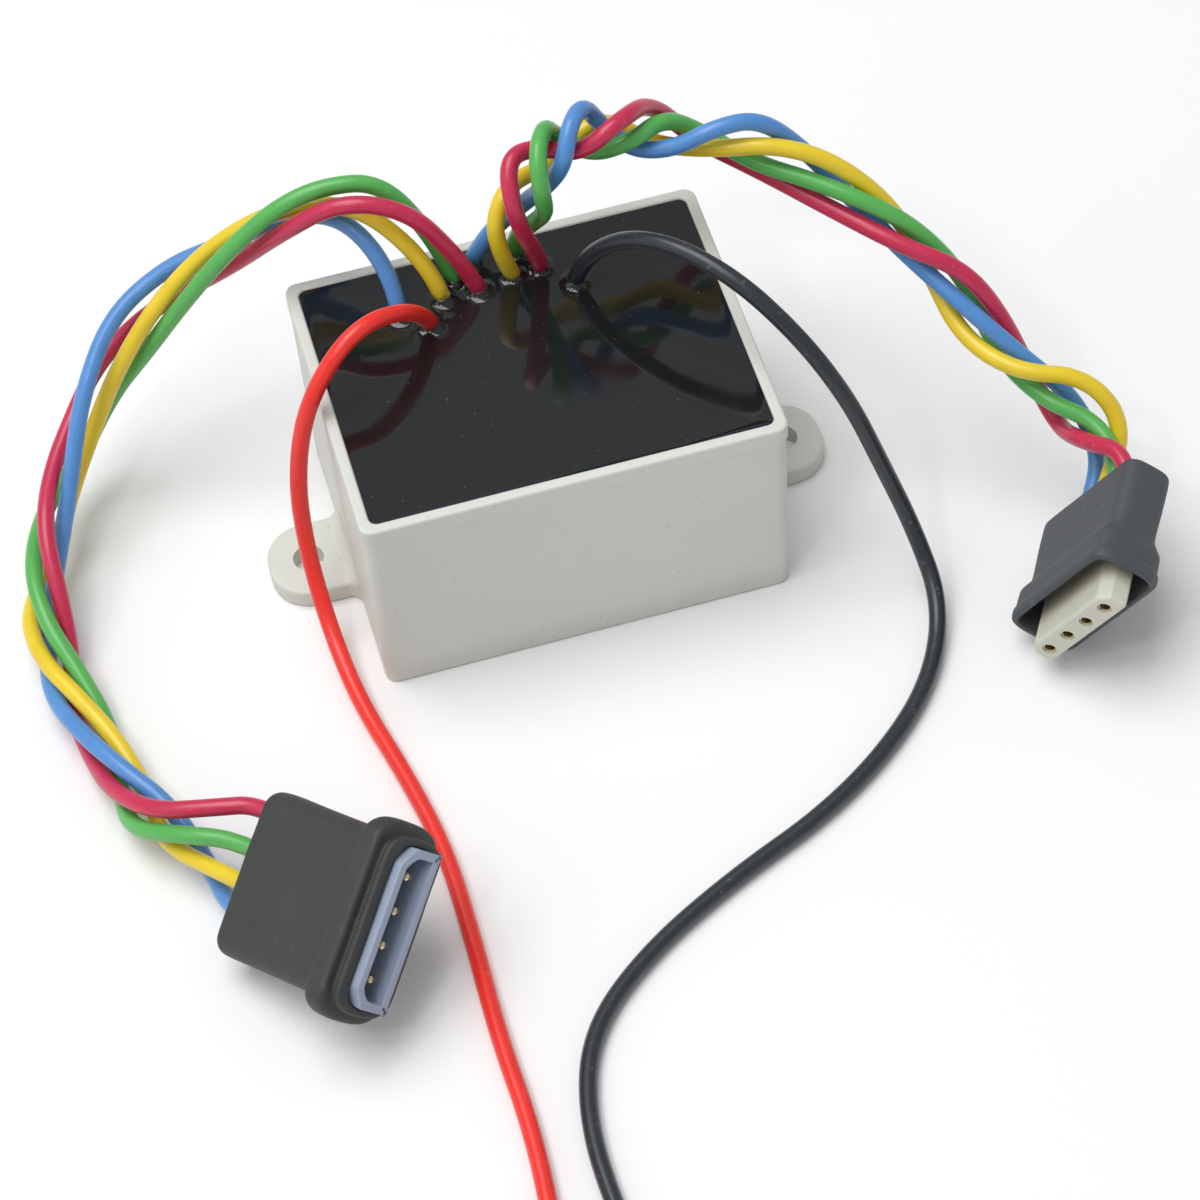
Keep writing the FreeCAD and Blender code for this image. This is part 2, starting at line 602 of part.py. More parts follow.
def keyed_outline(sketch, inset):
    """The plug's outline: a long box with its two upper corners cut off as a key."""
    half_x = f"{PLUG_LENGTH} / 2 - %s" % inset
    half_y = "sizes.plug_thickness / 2 - %s" % inset
    # The wall stays even round the slanted corners.
    slant = "sqrt(sizes.plug_key_length ^ 2 + sizes.plug_key_depth ^ 2)"
    key_x = f"{PLUG_LENGTH} / 2 - sizes.plug_key_length" \
            " - %s * (%s - sizes.plug_key_length) / sizes.plug_key_depth" % (inset, slant)
    key_y = "sizes.plug_thickness / 2 - sizes.plug_key_depth" \
            " - %s * (%s - sizes.plug_key_depth) / sizes.plug_key_length" % (inset, slant)
    return polygon(sketch, [
        ("-(%s)" % half_x, "-(%s)" % half_y),
        (half_x, "-(%s)" % half_y),
        (half_x, key_y),
        (key_x, half_y),
        ("-(%s)" % key_x, half_y),
        ("-(%s)" % half_x, key_y),
    ])


def make_male_connector():
    place = MALE_PLACE
    envelope = local_body("male_envelope", place)
    outline = keyed_outline(new_sketch(envelope, "plug_outline", "sizes.contact_start"), "0")
    pad(envelope, outline, "plug_block", "sizes.plug_rim_level - sizes.contact_start")
    hollow = local_body("male_hollow", place)
    inner = keyed_outline(new_sketch(hollow, "hollow_outline", "sizes.plug_floor_level"), "sizes.plug_wall")
    pad(hollow, inner, "hollow_block", "sizes.plug_rim_level - sizes.plug_floor_level")

    pins = []
    for number, offset in CONTACTS:
        x = "sizes.contact_pitch * %s" % offset
        crimp = local(bind(doc.addObject("Part::Cylinder", "pin_crimp_%d" % number),
                           Radius="sizes.crimp_radius", Height="sizes.crimp_length"),
                      place, x, "sizes.contact_start")
        shank_start = "sizes.contact_start + sizes.crimp_length / 2"
        tip_level = "sizes.plug_rim_level - sizes.pin_below_rim - sizes.pin_radius"
        shank = local(bind(doc.addObject("Part::Cylinder", "pin_shank_%d" % number),
                           Radius="sizes.pin_radius", Height="%s - (%s)" % (tip_level, shank_start)),
                      place, x, shank_start)
        tip = local(bind(doc.addObject("Part::Sphere", "pin_tip_%d" % number), Radius="sizes.pin_radius"),
                    place, x, tip_level)
        label = "male_pin_%d" % number
        blade = slit("pin_slit_%d" % number, place, x, "sizes.pin_radius",
                     "sizes.plug_rim_level", "sizes.pin_slit_depth")
        pins.append(node(cut(label, fuse(label + "_blank", [crimp, shank, tip]), blade), label))
    node(cut("male_housing", envelope, fuse("male_housing_tool", [hollow] + pins)), "male_housing")

    boot = local_body("male_boot_body", place)
    rear = rounded_rectangle(new_sketch(boot, "rear_outline"), f"{MALE_BODY_LENGTH} / 2",
                             f"{MALE_BODY_THICKNESS} / 2", "sizes.male_boot_radius")
    pad(boot, rear, "rear", "sizes.male_collar_level + sizes.male_collar_height / 2")
    round_edges(boot, "rear_edges", "sizes.male_boot_radius / 3", lambda edge: at_level(edge, 0))
    collar = rounded_rectangle(new_sketch(boot, "collar_outline", "sizes.male_collar_level"),
                               f"{MALE_COLLAR_LENGTH} / 2", f"{MALE_COLLAR_THICKNESS} / 2",
                               "sizes.male_boot_radius")
    pad(boot, collar, "collar", "sizes.male_collar_height")
    neck = rounded_rectangle(new_sketch(boot, "neck_outline", "sizes.male_collar_level"),
                             f"{MALE_NOSE_LENGTH} / 2 - sizes.male_neck_depth",
                             f"{MALE_NOSE_THICKNESS} / 2 - sizes.male_neck_depth",
                             "sizes.male_boot_radius * 0.6")
    pad(boot, neck, "neck", "sizes.male_nose_level - sizes.male_collar_level")
    nose = rounded_rectangle(new_sketch(boot, "nose_outline", "sizes.male_nose_level"),
                             f"{MALE_NOSE_LENGTH} / 2", f"{MALE_NOSE_THICKNESS} / 2",
                             "sizes.male_boot_radius * 0.8")
    lip = pad(boot, nose, "nose", "sizes.male_nose_height")
    lip.Reversed = True
    doc.recompute()
    collar_levels = (value("sizes.male_collar_level"),
                     value("sizes.male_collar_level + sizes.male_collar_height"))
    nose_half = value(f"{MALE_NOSE_THICKNESS} / 2")
    nose_end = value(f"{MALE_NOSE_LENGTH} / 2")

    def outer_collar_edge(edge):
        flat = any(at_level(edge, level) for level in collar_levels)
        return flat and all(abs(corner.Y) > nose_half + 0.1 or abs(corner.X) > nose_end + 0.1
                            for corner in edge.Vertexes)

    round_edges(boot, "collar_edges", "sizes.male_boot_radius / 3", outer_collar_edge)
    nose_top = value("sizes.male_nose_level")
    round_edges(boot, "nose_edge", "sizes.male_boot_radius / 4", lambda edge: at_level(edge, nose_top))
    lines = [wires["left_%s_wire" % colour] for colour in LINE_COLOURS]
    node(cut("male_boot", boot, fuse("male_boot_tool", [envelope] + lines)), "male_boot")


make_male_connector()


# ---- female connector ----------------------------------------------------------------------------------

def make_female_connector():
    place = FEMALE_PLACE
    tongue = local_body("tongue_body", place)
    outline = keyed_outline(new_sketch(tongue, "tongue_outline", "sizes.contact_start"),
                            "(sizes.plug_wall + sizes.tongue_clearance)")
    pad(tongue, outline, "tongue_block", "sizes.tongue_level - sizes.contact_start")

    def upright(edge):
        box = edge.BoundBox
        return box.ZLength > 1 and box.XLength < 0.01 and box.YLength < 0.01

    round_edges(tongue, "tongue_corners", "sizes.tongue_edge", upright)
    tongue_top = value("sizes.tongue_level")
    round_edges(tongue, "tongue_end", "sizes.tongue_edge * 0.9", lambda edge: at_level(edge, tongue_top))

    sockets = []
    bores = []
    for number, offset in CONTACTS:
        x = "sizes.contact_pitch * %s" % offset
        outer = "sizes.pin_radius + sizes.socket_fit + sizes.socket_wall"
        front = "sizes.tongue_level - sizes.socket_recess"
        sleeve = local(bind(doc.addObject("Part::Cylinder", "socket_sleeve_%d" % number),
                            Radius=outer, Height="%s - sizes.contact_start" % front),
                       place, x, "sizes.contact_start")
        bore_start = "sizes.contact_start + sizes.crimp_length"
        bore = local(bind(doc.addObject("Part::Cylinder", "socket_bore_%d" % number),
                          Radius="sizes.pin_radius + sizes.socket_fit",
                          Height="%s - (%s)" % (front, bore_start)), place, x, bore_start)
        label = "female_socket_%d" % number
        blade = slit("socket_slit_%d" % number, place, x, outer, front, "sizes.socket_slit_depth")
        sockets.append(node(cut(label, sleeve, fuse(label + "_tool", [bore, blade])), label))
        bores.append(local(bind(doc.addObject("Part::Cylinder", "tongue_bore_%d" % number),
                                Radius=outer, Height="sizes.tongue_level - sizes.contact_start"),
                           place, x, "sizes.contact_start"))
    node(cut("female_housing", tongue, fuse("female_housing_tool", bores)), "female_housing")

    boot = local_body("female_boot_body", place)
    rear = rounded_rectangle(new_sketch(boot, "female_rear_outline"), f"{FEMALE_BODY_LENGTH} / 2",
                             f"{FEMALE_BODY_THICKNESS} / 2", "sizes.female_boot_radius")
    pad(boot, rear, "female_rear", "sizes.female_flange_level - sizes.female_flare / 2")
    round_edges(boot, "female_rear_edges", "sizes.female_boot_radius / 3", lambda edge: at_level(edge, 0))
    low = rounded_rectangle(new_sketch(boot, "flare_start",
                                       "sizes.female_flange_level - sizes.female_flare / 2"),
                            f"{FEMALE_BODY_LENGTH} / 2", f"{FEMALE_BODY_THICKNESS} / 2",
                            "sizes.female_boot_radius")
    high = rounded_rectangle(new_sketch(boot, "flare_end",
                                        "sizes.female_flange_level + sizes.female_flare / 2"),
                             f"{FEMALE_FLANGE_LENGTH} / 2", f"{FEMALE_FLANGE_THICKNESS} / 2",
                             "sizes.female_boot_radius")
    flare = boot.newObject("PartDesign::AdditiveLoft", "flare")
    flare.Profile = low
    flare.Sections = [high]
    flare.Ruled = True
    doc.recompute()
    flange = rounded_rectangle(new_sketch(boot, "flange_outline",
                                          "sizes.female_flange_level + sizes.female_flare / 2"),
                               f"{FEMALE_FLANGE_LENGTH} / 2", f"{FEMALE_FLANGE_THICKNESS} / 2",
                               "sizes.female_boot_radius")
    pad(boot, flange, "flange",
        "sizes.female_mouth_level - sizes.female_flange_level - sizes.female_flare / 2")
    mouth = rounded_rectangle(new_sketch(boot, "mouth_outline", "sizes.female_mouth_level"),
                              MOUTH_LENGTH + " / 2", MOUTH_THICKNESS + " / 2",
                              "sizes.female_boot_radius / 2")
    pocket(boot, mouth, "mouth", "sizes.mouth_depth")
    lip = value("sizes.female_mouth_level")
    round_edges(boot, "lip_edges", "sizes.female_boot_radius / 4", lambda edge: at_level(edge, lip))
    lines = [wires["right_%s_wire" % colour] for colour in LINE_COLOURS]
    node(cut("female_boot", boot, fuse("female_boot_tool", [tongue] + lines)), "female_boot")


make_female_connector()


# ---- potting -------------------------------------------------------------------------------------------

def make_potting():
    block = doc.addObject("PartDesign::Body", "potting_block")
    outline = rounded_rectangle(
        new_sketch(block, "potting_outline", "sizes.floor_thickness"),
        CAVITY_LENGTH + " / 2", CAVITY_WIDTH + " / 2",
        "sizes.cavity_radius",
    )
    pad(block, outline, "potting_fill",
        "sizes.body_height - sizes.potting_below_rim - sizes.floor_thickness")
    sealed = [board] + joints + components + list(wires.values())
    node(cut("potting_compound", block, fuse("potting_tool", sealed)), "potting_compound")


make_potting()
doc.recompute()

# ---- checks and files ----------------------------------------------------------------------------------

for obj in doc.Objects:
    if "Invalid" in obj.State or "Error" in obj.State:
        raise RuntimeError("%s failed: %s" % (obj.Name, obj.State))
os.makedirs("parts", exist_ok=True)
for piece in nodes:
    if piece.Shape.isNull() or not piece.Shape.isValid():
        raise RuntimeError("%s has no sound shape" % piece.Label)
for piece in nodes:
    piece.Shape.exportStep("parts/%s.step" % piece.Label)
print("%d nodes written" % len(nodes))
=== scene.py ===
"""Looks of an in-line surge protector: an ivory box filled with black resin, two twisted four-wire tails
with their connectors, and two bare-ended leads. All lengths are metres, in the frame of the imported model."""

import json
import math

import bmesh
import bpy
from mathutils import Matrix, Quaternion, Vector, noise


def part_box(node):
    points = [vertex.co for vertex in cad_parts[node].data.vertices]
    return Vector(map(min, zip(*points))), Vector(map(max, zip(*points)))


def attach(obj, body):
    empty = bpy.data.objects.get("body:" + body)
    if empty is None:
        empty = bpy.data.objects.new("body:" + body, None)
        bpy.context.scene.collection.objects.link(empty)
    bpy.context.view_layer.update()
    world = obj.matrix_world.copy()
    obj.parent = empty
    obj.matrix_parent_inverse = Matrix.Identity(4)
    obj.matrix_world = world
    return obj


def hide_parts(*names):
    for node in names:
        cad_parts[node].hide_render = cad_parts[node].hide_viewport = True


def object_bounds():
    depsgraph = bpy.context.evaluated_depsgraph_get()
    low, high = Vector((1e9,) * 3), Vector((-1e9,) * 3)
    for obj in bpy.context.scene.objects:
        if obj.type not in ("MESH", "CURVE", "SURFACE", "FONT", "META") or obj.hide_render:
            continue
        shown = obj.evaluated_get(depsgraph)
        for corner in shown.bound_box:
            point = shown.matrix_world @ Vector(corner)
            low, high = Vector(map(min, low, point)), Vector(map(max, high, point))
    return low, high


bl_info = {
    "name": "Surge Protector Module",
    "version": (1, 0, 0),
    "blender": (4, 5, 0),
    "location": "3D View > Sidebar > Surge Protector",
    "description": "Finishes a potted surge protector with its wire tails, connectors and leads",
    "category": "Object",
}

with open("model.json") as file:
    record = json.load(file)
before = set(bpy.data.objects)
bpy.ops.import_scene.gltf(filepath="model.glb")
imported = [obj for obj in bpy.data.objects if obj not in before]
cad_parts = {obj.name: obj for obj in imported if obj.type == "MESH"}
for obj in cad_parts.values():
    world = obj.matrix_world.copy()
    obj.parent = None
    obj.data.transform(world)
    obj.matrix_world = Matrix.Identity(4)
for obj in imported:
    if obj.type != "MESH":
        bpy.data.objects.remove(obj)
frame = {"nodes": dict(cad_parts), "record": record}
CAD_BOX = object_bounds()
MM = 0.001
MOUNTS = {mount["name"]: mount for mount in frame["record"]["mounts"]}
RESIN_LOW, RESIN_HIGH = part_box("potting_compound")

# Each wire's route from its solder joint to its crimp or free end.
ROUTES = {
    "left_blue_wire": [
        (-0.0128, 0.0108, 0.011), (-0.0128, 0.0108, 0.019), (-0.013, 0.01, 0.027), (-0.0135, 0.015, 0.0345),
        (-0.0175, 0.021, 0.038), (-0.024, 0.025, 0.035), (-0.031, 0.026, 0.032), (-0.038, 0.0275, 0.029),
        (-0.046, 0.025, 0.0255), (-0.0515, 0.0185, 0.0205), (-0.0545, 0.014, 0.0145),
        (-0.057, 0.01, 0.0095), (-0.0603, 0.004, 0.005), (-0.063, -0.003, 0.0022), (-0.064, -0.011, 0.003),
        (-0.0615, -0.019, 0.005), (-0.058, -0.026, 0.006), (-0.0535, -0.032, 0.0045),
        (-0.051, -0.0395, 0.002), (-0.0499, -0.0473, 0.003), (-0.0463, -0.0541, 0.0061),
    ],
    "left_yellow_wire": [
        (-0.0072, 0.0121, 0.011), (-0.0072, 0.0121, 0.019), (-0.007, 0.0115, 0.027),
        (-0.0095, 0.0145, 0.035), (-0.0155, 0.0195, 0.0405), (-0.0235, 0.0228, 0.039),
        (-0.03, 0.0237, 0.036), (-0.036, 0.024, 0.0315), (-0.042, 0.0227, 0.026), (-0.0473, 0.0213, 0.019),
        (-0.0515, 0.019, 0.0125), (-0.0555, 0.015, 0.008), (-0.06, 0.0085, 0.0028), (-0.0645, 0.001, 0.004),
        (-0.064, -0.007, 0.005), (-0.0607, -0.014, 0.005), (-0.0575, -0.021, 0.004),
        (-0.0555, -0.029, 0.0022), (-0.0555, -0.0365, 0.004), (-0.0491, -0.0449, 0.0064),
        (-0.0441, -0.0516, 0.0082),
    ],
    "left_green_wire": [
        (-0.0052, 0.0144, 0.011), (-0.0052, 0.0144, 0.019), (-0.005, 0.014, 0.027),
        (-0.0075, 0.0165, 0.0355), (-0.012, 0.0195, 0.043), (-0.019, 0.0205, 0.0435),
        (-0.025, 0.0205, 0.0415), (-0.031, 0.0207, 0.0363), (-0.037, 0.0215, 0.029),
        (-0.0425, 0.0225, 0.021), (-0.048, 0.024, 0.013), (-0.0535, 0.021, 0.0063), (-0.059, 0.015, 0.0064),
        (-0.0625, 0.005, 0.0085), (-0.0625, -0.003, 0.0073), (-0.06, -0.01, 0.0045),
        (-0.058, -0.017, 0.0015), (-0.0587, -0.026, 0.0015), (-0.0587, -0.0335, 0.0042),
        (-0.0535, -0.039, 0.0085), (-0.0468, -0.0424, 0.0092), (-0.0419, -0.049, 0.0102),
    ],
    "left_crimson_wire": [
        (-0.0026, 0.0122, 0.011), (-0.0026, 0.0122, 0.019), (-0.0025, 0.0118, 0.027),
        (-0.0055, 0.013, 0.035), (-0.01, 0.015, 0.042), (-0.0175, 0.017, 0.044), (-0.0245, 0.0195, 0.0385),
        (-0.03, 0.024, 0.0305), (-0.036, 0.026, 0.026), (-0.043, 0.0265, 0.022), (-0.049, 0.025, 0.0175),
        (-0.0525, 0.022, 0.0145), (-0.0575, 0.0145, 0.0127), (-0.06, 0.0065, 0.012),
        (-0.06, -0.0005, 0.0073), (-0.0604, -0.0055, 0.0024), (-0.062, -0.013, 0.0014),
        (-0.061, -0.021, 0.0016), (-0.0595, -0.0285, 0.005), (-0.0555, -0.035, 0.0085),
        (-0.0495, -0.0375, 0.01), (-0.0431, -0.0392, 0.0104), (-0.0397, -0.0465, 0.0123),
    ],
    "right_blue_wire": [
        (-0.0035, 0.0168, 0.011), (-0.0035, 0.0168, 0.0187), (-0.004, 0.017, 0.0265),
        (-0.001, 0.0165, 0.033), (0.0035, 0.016, 0.0372), (0.0065, 0.0123, 0.0435), (0.008, 0.0103, 0.0485),
        (0.0095, 0.0128, 0.0517), (0.012, 0.0162, 0.051), (0.014, 0.017, 0.0465), (0.017, 0.015, 0.043),
        (0.0215, 0.0125, 0.044), (0.0265, 0.0117, 0.0468), (0.032, 0.0122, 0.046), (0.0373, 0.0115, 0.0395),
        (0.042, 0.0057, 0.034), (0.046, -0.0005, 0.0305), (0.051, -0.0075, 0.027),
        (0.0563, -0.0125, 0.0218), (0.0615, -0.0155, 0.0165), (0.063, -0.0215, 0.0125),
        (0.0608, -0.0254, 0.009), (0.0564, -0.0308, 0.0061),
    ],
    "right_yellow_wire": [
        (0.0015, 0.0139, 0.011), (0.0015, 0.0139, 0.0184), (0.002, 0.014, 0.026), (0, 0.012, 0.033),
        (-0.0007, 0.0125, 0.039), (0.002, 0.0148, 0.0425), (0.007, 0.017, 0.0415), (0.0115, 0.0185, 0.0445),
        (0.0155, 0.0187, 0.045), (0.02, 0.0172, 0.0407), (0.026, 0.0122, 0.0428), (0.033, 0.01, 0.0435),
        (0.0395, 0.0075, 0.041), (0.0455, 0.0045, 0.0345), (0.0485, -0.0005, 0.0275), (0.05, -0.008, 0.023),
        (0.0545, -0.015, 0.0225), (0.0625, -0.0173, 0.0215), (0.066, -0.0217, 0.0163),
        (0.062, -0.0261, 0.0108), (0.0581, -0.032, 0.0095),
    ],
    "right_green_wire": [
        (0.0032, 0.0168, 0.011), (0.0032, 0.0168, 0.0189), (0.003, 0.017, 0.0265), (0.0022, 0.016, 0.032),
        (0.0043, 0.0136, 0.0363), (0.0053, 0.0103, 0.041), (0.0047, 0.0083, 0.046), (0.005, 0.011, 0.05),
        (0.007, 0.0153, 0.05), (0.0085, 0.017, 0.0465), (0.012, 0.0148, 0.044), (0.0165, 0.013, 0.0463),
        (0.0215, 0.0158, 0.0462), (0.026, 0.0163, 0.0417), (0.031, 0.0115, 0.0395),
        (0.0365, 0.0075, 0.0388), (0.042, 0.0033, 0.0375), (0.0477, 0.0005, 0.0335),
        (0.0525, -0.003, 0.0265), (0.0543, -0.0095, 0.0195), (0.0575, -0.0168, 0.0183),
        (0.0628, -0.0208, 0.017), (0.0637, -0.027, 0.015), (0.0598, -0.0332, 0.0129),
    ],
    "right_crimson_wire": [
        (0.0049, 0.0139, 0.011), (0.0049, 0.0139, 0.0184), (0.005, 0.0142, 0.026), (0.004, 0.012, 0.033),
        (0.0023, 0.0095, 0.039), (0.0013, 0.0098, 0.0445), (0.002, 0.0135, 0.048), (0.0057, 0.0155, 0.0468),
        (0.0103, 0.0118, 0.0475), (0.0155, 0.0125, 0.051), (0.0205, 0.0185, 0.0465), (0.0255, 0.018, 0.039),
        (0.032, 0.0125, 0.0368), (0.0385, 0.0053, 0.0353), (0.045, -0.0015, 0.0337),
        (0.0513, -0.0048, 0.031), (0.055, -0.0073, 0.025), (0.0578, -0.011, 0.017),
        (0.0595, -0.0165, 0.0125), (0.06, -0.0225, 0.0165), (0.0644, -0.0283, 0.0191),
        (0.0615, -0.0343, 0.0163),
    ],
    "red_lead": [
        (-0.0091, 0.0095, 0.011), (-0.0091, 0.0095, 0.0186), (-0.009, 0.0097, 0.0265),
        (-0.0125, 0.006, 0.0355), (-0.02, 0.002, 0.039), (-0.027, -0.001, 0.032), (-0.03, -0.003, 0.0215),
        (-0.0305, -0.0055, 0.011), (-0.03, -0.012, 0.003), (-0.029, -0.022, 0.0012),
        (-0.0265, -0.033, 0.0011), (-0.0245, -0.045, 0.0011), (-0.0245, -0.058, 0.0011),
        (-0.025, -0.071, 0.0011), (-0.0245, -0.084, 0.0011), (-0.0255, -0.097, 0.0011),
        (-0.0275, -0.11, 0.0011), (-0.0305, -0.123, 0.0011), (-0.034, -0.134, 0.0011),
        (-0.036, -0.1415, 0.0011),
    ],
    "black_lead": [
        (0.007, 0.01, 0.011), (0.007, 0.01, 0.0184), (0.007, 0.0105, 0.026), (0.01, 0.0085, 0.0355),
        (0.016, 0.003, 0.041), (0.023, -0.005, 0.0405), (0.029, -0.012, 0.035), (0.0335, -0.0165, 0.027),
        (0.0365, -0.019, 0.0175), (0.0395, -0.0225, 0.008), (0.0405, -0.03, 0.0022),
        (0.036, -0.0395, 0.0011), (0.028, -0.0475, 0.0011), (0.018, -0.054, 0.0011),
        (0.006, -0.059, 0.0011), (-0.006, -0.0655, 0.0011), (-0.015, -0.0735, 0.0011),
        (-0.0185, -0.084, 0.0011), (-0.0185, -0.097, 0.0011), (-0.0165, -0.11, 0.0011),
        (-0.0135, -0.123, 0.0011), (-0.011, -0.133, 0.0011), (-0.01, -0.14, 0.0011),
    ],
}


# ---- settings ------------------------------------------------------------------------------------------

def length(name, description, default):
    """A length that a user can change, in metres."""
    return bpy.props.FloatProperty(
        name=name, description=description, default=default, min=0, precision=5, unit="LENGTH"
    )


def colour(name, description, default):
    """A colour that a user can change."""
    return bpy.props.FloatVectorProperty(
        name=name, description=description, default=default, min=0, max=1, size=3, subtype="COLOR"
    )


def angle(name, description, degrees):
    return bpy.props.FloatProperty(
        name=name, description=description, default=math.radians(degrees), subtype="ANGLE"
    )


class SurgeWires(bpy.types.PropertyGroup):
    """Insulated wires and the bare ends of the two leads."""

    diameter: length("Diameter", "Outer diameter of the insulation", 2.1 * MM)
    strand_diameter: length("Strand", "Diameter of one copper strand", 0.4 * MM)
    strand_twist: angle("Twist", "Turn of the strands over the bare end", 250)
    blue: colour("Blue", "Insulation of the first line", (0.085, 0.26, 0.60))
    yellow: colour("Yellow", "Insulation of the second line", (0.80, 0.58, 0.02))
    green: colour("Green", "Insulation of the third line", (0.09, 0.42, 0.085))
    crimson: colour("Crimson", "Insulation of the fourth line", (0.55, 0.02, 0.075))
    red: colour("Red", "Insulation of the supply lead", (0.84, 0.028, 0.018))
    black: colour("Black", "Insulation of the earth lead", (0.02, 0.024, 0.032))


class SurgeResin(bpy.types.PropertyGroup):
    """The black resin's free surface."""

    cell: length("Cell", "Spacing of the surface mesh", 0.32 * MM)
    fine_reach: length("Fine reach", "Distance from a wire within which the mesh is finer", 2.3 * MM)
    climb: length("Climb", "Height that the resin creeps up a wire", 0.75 * MM)
    creep: length("Creep", "Distance over which the creep dies away", 0.42 * MM)
    wall_climb: length("Wall climb", "Height that the resin creeps up the walls", 0.15 * MM)
    wall_creep: length("Wall creep", "Distance over which the creep at the walls dies away", 0.55 * MM)
    swell: length("Swell", "Height of the slow waves left by curing", 0.03 * MM)
    swell_width: length("Swell width", "Width of the slow waves", 9 * MM)
    tint: colour("Colour", "The resin's own colour", (0.010, 0.011, 0.012))


class SurgePlug(bpy.types.PropertyGroup):
    """The male connector: a rubber boot and a keyed shroud."""

    mouth_level: length("Mouth", "Shroud's rim above the boot's rear face", 22.4 * MM)
    shroud_start: length("Shroud start", "Shroud's rear end above the boot's rear face", 5.4 * MM)
    shroud_floor: length("Shroud floor", "Bottom of the shroud's hollow", 12.5 * MM)
    shroud_length: length("Shroud length", "Shroud's outer length", 18.5 * MM)
    shroud_thickness: length("Shroud thickness", "Shroud's outer thickness", 5.7 * MM)
    key_length: length("Key length", "Length taken off each keyed corner", 2.1 * MM)
    key_depth: length("Key depth", "Thickness taken off each keyed corner", 1.6 * MM)
    wall: length("Wall", "Thickness of the shroud's wall", 1.0 * MM)
    edge: length("Edge", "Width of the rounded edges of the shroud", 0.14 * MM)
    body_length: length("Body length", "Boot's length across the wires", 19.7 * MM)
    body_thickness: length("Body thickness", "Boot's thickness", 7.6 * MM)
    collar_level: length("Collar level", "Start of the collar", 16.5 * MM)
    collar_height: length("Collar height", "Height of the collar", 3.3 * MM)
    collar_length: length("Collar length", "Length of the collar", 23.1 * MM)
    collar_thickness: length("Collar thickness", "Thickness of the collar", 10.4 * MM)
    nose_level: length("Nose level", "Top of the nose round the shroud", 21.4 * MM)
    nose_height: length("Nose height", "Height of the nose", 1.1 * MM)
    nose_length: length("Nose length", "Length of the nose", 20.5 * MM)
    nose_thickness: length("Nose thickness", "Thickness of the nose", 8.9 * MM)
    corner: length("Corner", "Radius of the boot's long edges", 1.9 * MM)
    rubber: colour("Rubber", "Colour of the boot", (0.036, 0.038, 0.037))
    # The shroud's grey-blue is painted shade: the nylon itself is white.
    plastic: colour("Plastic", "Colour of the shroud", (0.30, 0.35, 0.46))


class SurgeSocket(bpy.types.PropertyGroup):
    """The female connector: a rubber boot round a tongue."""

    tongue_level: length("Tongue", "Tongue's end above the boot's rear face", 18.7 * MM)
    body_length: length("Body length", "Boot's length across the wires", 20.2 * MM)
    body_thickness: length("Body thickness", "Boot's thickness", 6.2 * MM)
    flare_level: length("Flare level", "Middle of the flare towards the mouth", 10.2 * MM)
    flange_length: length("Flange length", "Length of the part round the mouth", 20.5 * MM)
    flange_thickness: length("Flange thickness", "Thickness of the part round the mouth", 8.8 * MM)
    mouth_level: length("Mouth level", "Boot's lip above its rear face", 15.2 * MM)
    mouth_depth: length("Mouth depth", "Depth of the mouth round the tongue", 4.9 * MM)
    mouth_length: length("Mouth length", "Length of the mouth", 18.9 * MM)
    mouth_thickness: length("Mouth thickness", "Thickness of the mouth", 7.2 * MM)
    corner: length("Corner", "Radius of the boot's long edges", 1.3 * MM)
    rubber: colour("Rubber", "Colour of the boot", (0.062, 0.068, 0.077))
    tongue: colour("Tongue", "Colour of the tongue", (0.60, 0.60, 0.50))


class SurgeFinish(bpy.types.PropertyGroup):
    """Colours of the box and of the parts sealed in it."""

    ivory: colour("Ivory", "Box", (0.65, 0.66, 0.61))
    contact: colour("Contact", "Plated pins and sockets", (0.83, 0.69, 0.43))
    tin: colour("Tin", "Bare strands and solder", (0.72, 0.72, 0.73))
    laminate: colour("Laminate", "Circuit board", (0.03, 0.17, 0.07))
    varistor: colour("Varistor", "Coated discs", (0.02, 0.09, 0.30))
    resistor: colour("Resistor", "Line resistors", (0.52, 0.40, 0.26))
    ceramic: colour("Ceramic", "Gas tube and fuse", (0.72, 0.70, 0.64))
    epoxy: colour("Epoxy", "Clamp diodes", (0.018, 0.018, 0.02))


class SurgeStudio(bpy.types.PropertyGroup):
    """Camera, lights and floor."""

    azimuth: angle("Azimuth", "Camera's turn round the object", -11.47)
    elevation: angle("Elevation", "Camera's height above the floor", 52.54)
    roll: angle("Roll", "Camera's turn about its own axis", -5.27)
    distance: length("Distance", "From the camera to its aim", 485.8 * MM)
    aim: bpy.props.FloatVectorProperty(
        name="Aim", description="Point that the camera looks at",
        default=(3.36 * MM, -10.02 * MM, -6.98 * MM), size=3, subtype="TRANSLATION",
    )
    lens: bpy.props.FloatProperty(
        name="Lens", description="Focal length in millimetres", default=118.92, min=1
    )
    floor_size: length("Floor", "Side of the floor", 6.0)
    floor_tint: colour("Floor colour", "Pale floor", (0.88, 0.88, 0.88))
    sky: bpy.props.FloatProperty(
        name="Sky", description="Brightness of the even light all round", default=0.46, min=0
    )
    key: bpy.props.FloatProperty(
        name="Key", description="Power of the large light above, in watts", default=10.5, min=0
    )
    side: bpy.props.FloatProperty(
        name="Side", description="Power of the light at the left, in watts", default=0.8, min=0
    )
    glint: bpy.props.FloatProperty(
        name="Glint", description="Power of the small light in front, in watts", default=0.3, min=0
    )


# ---- materials -----------------------------------------------------------------------------------------

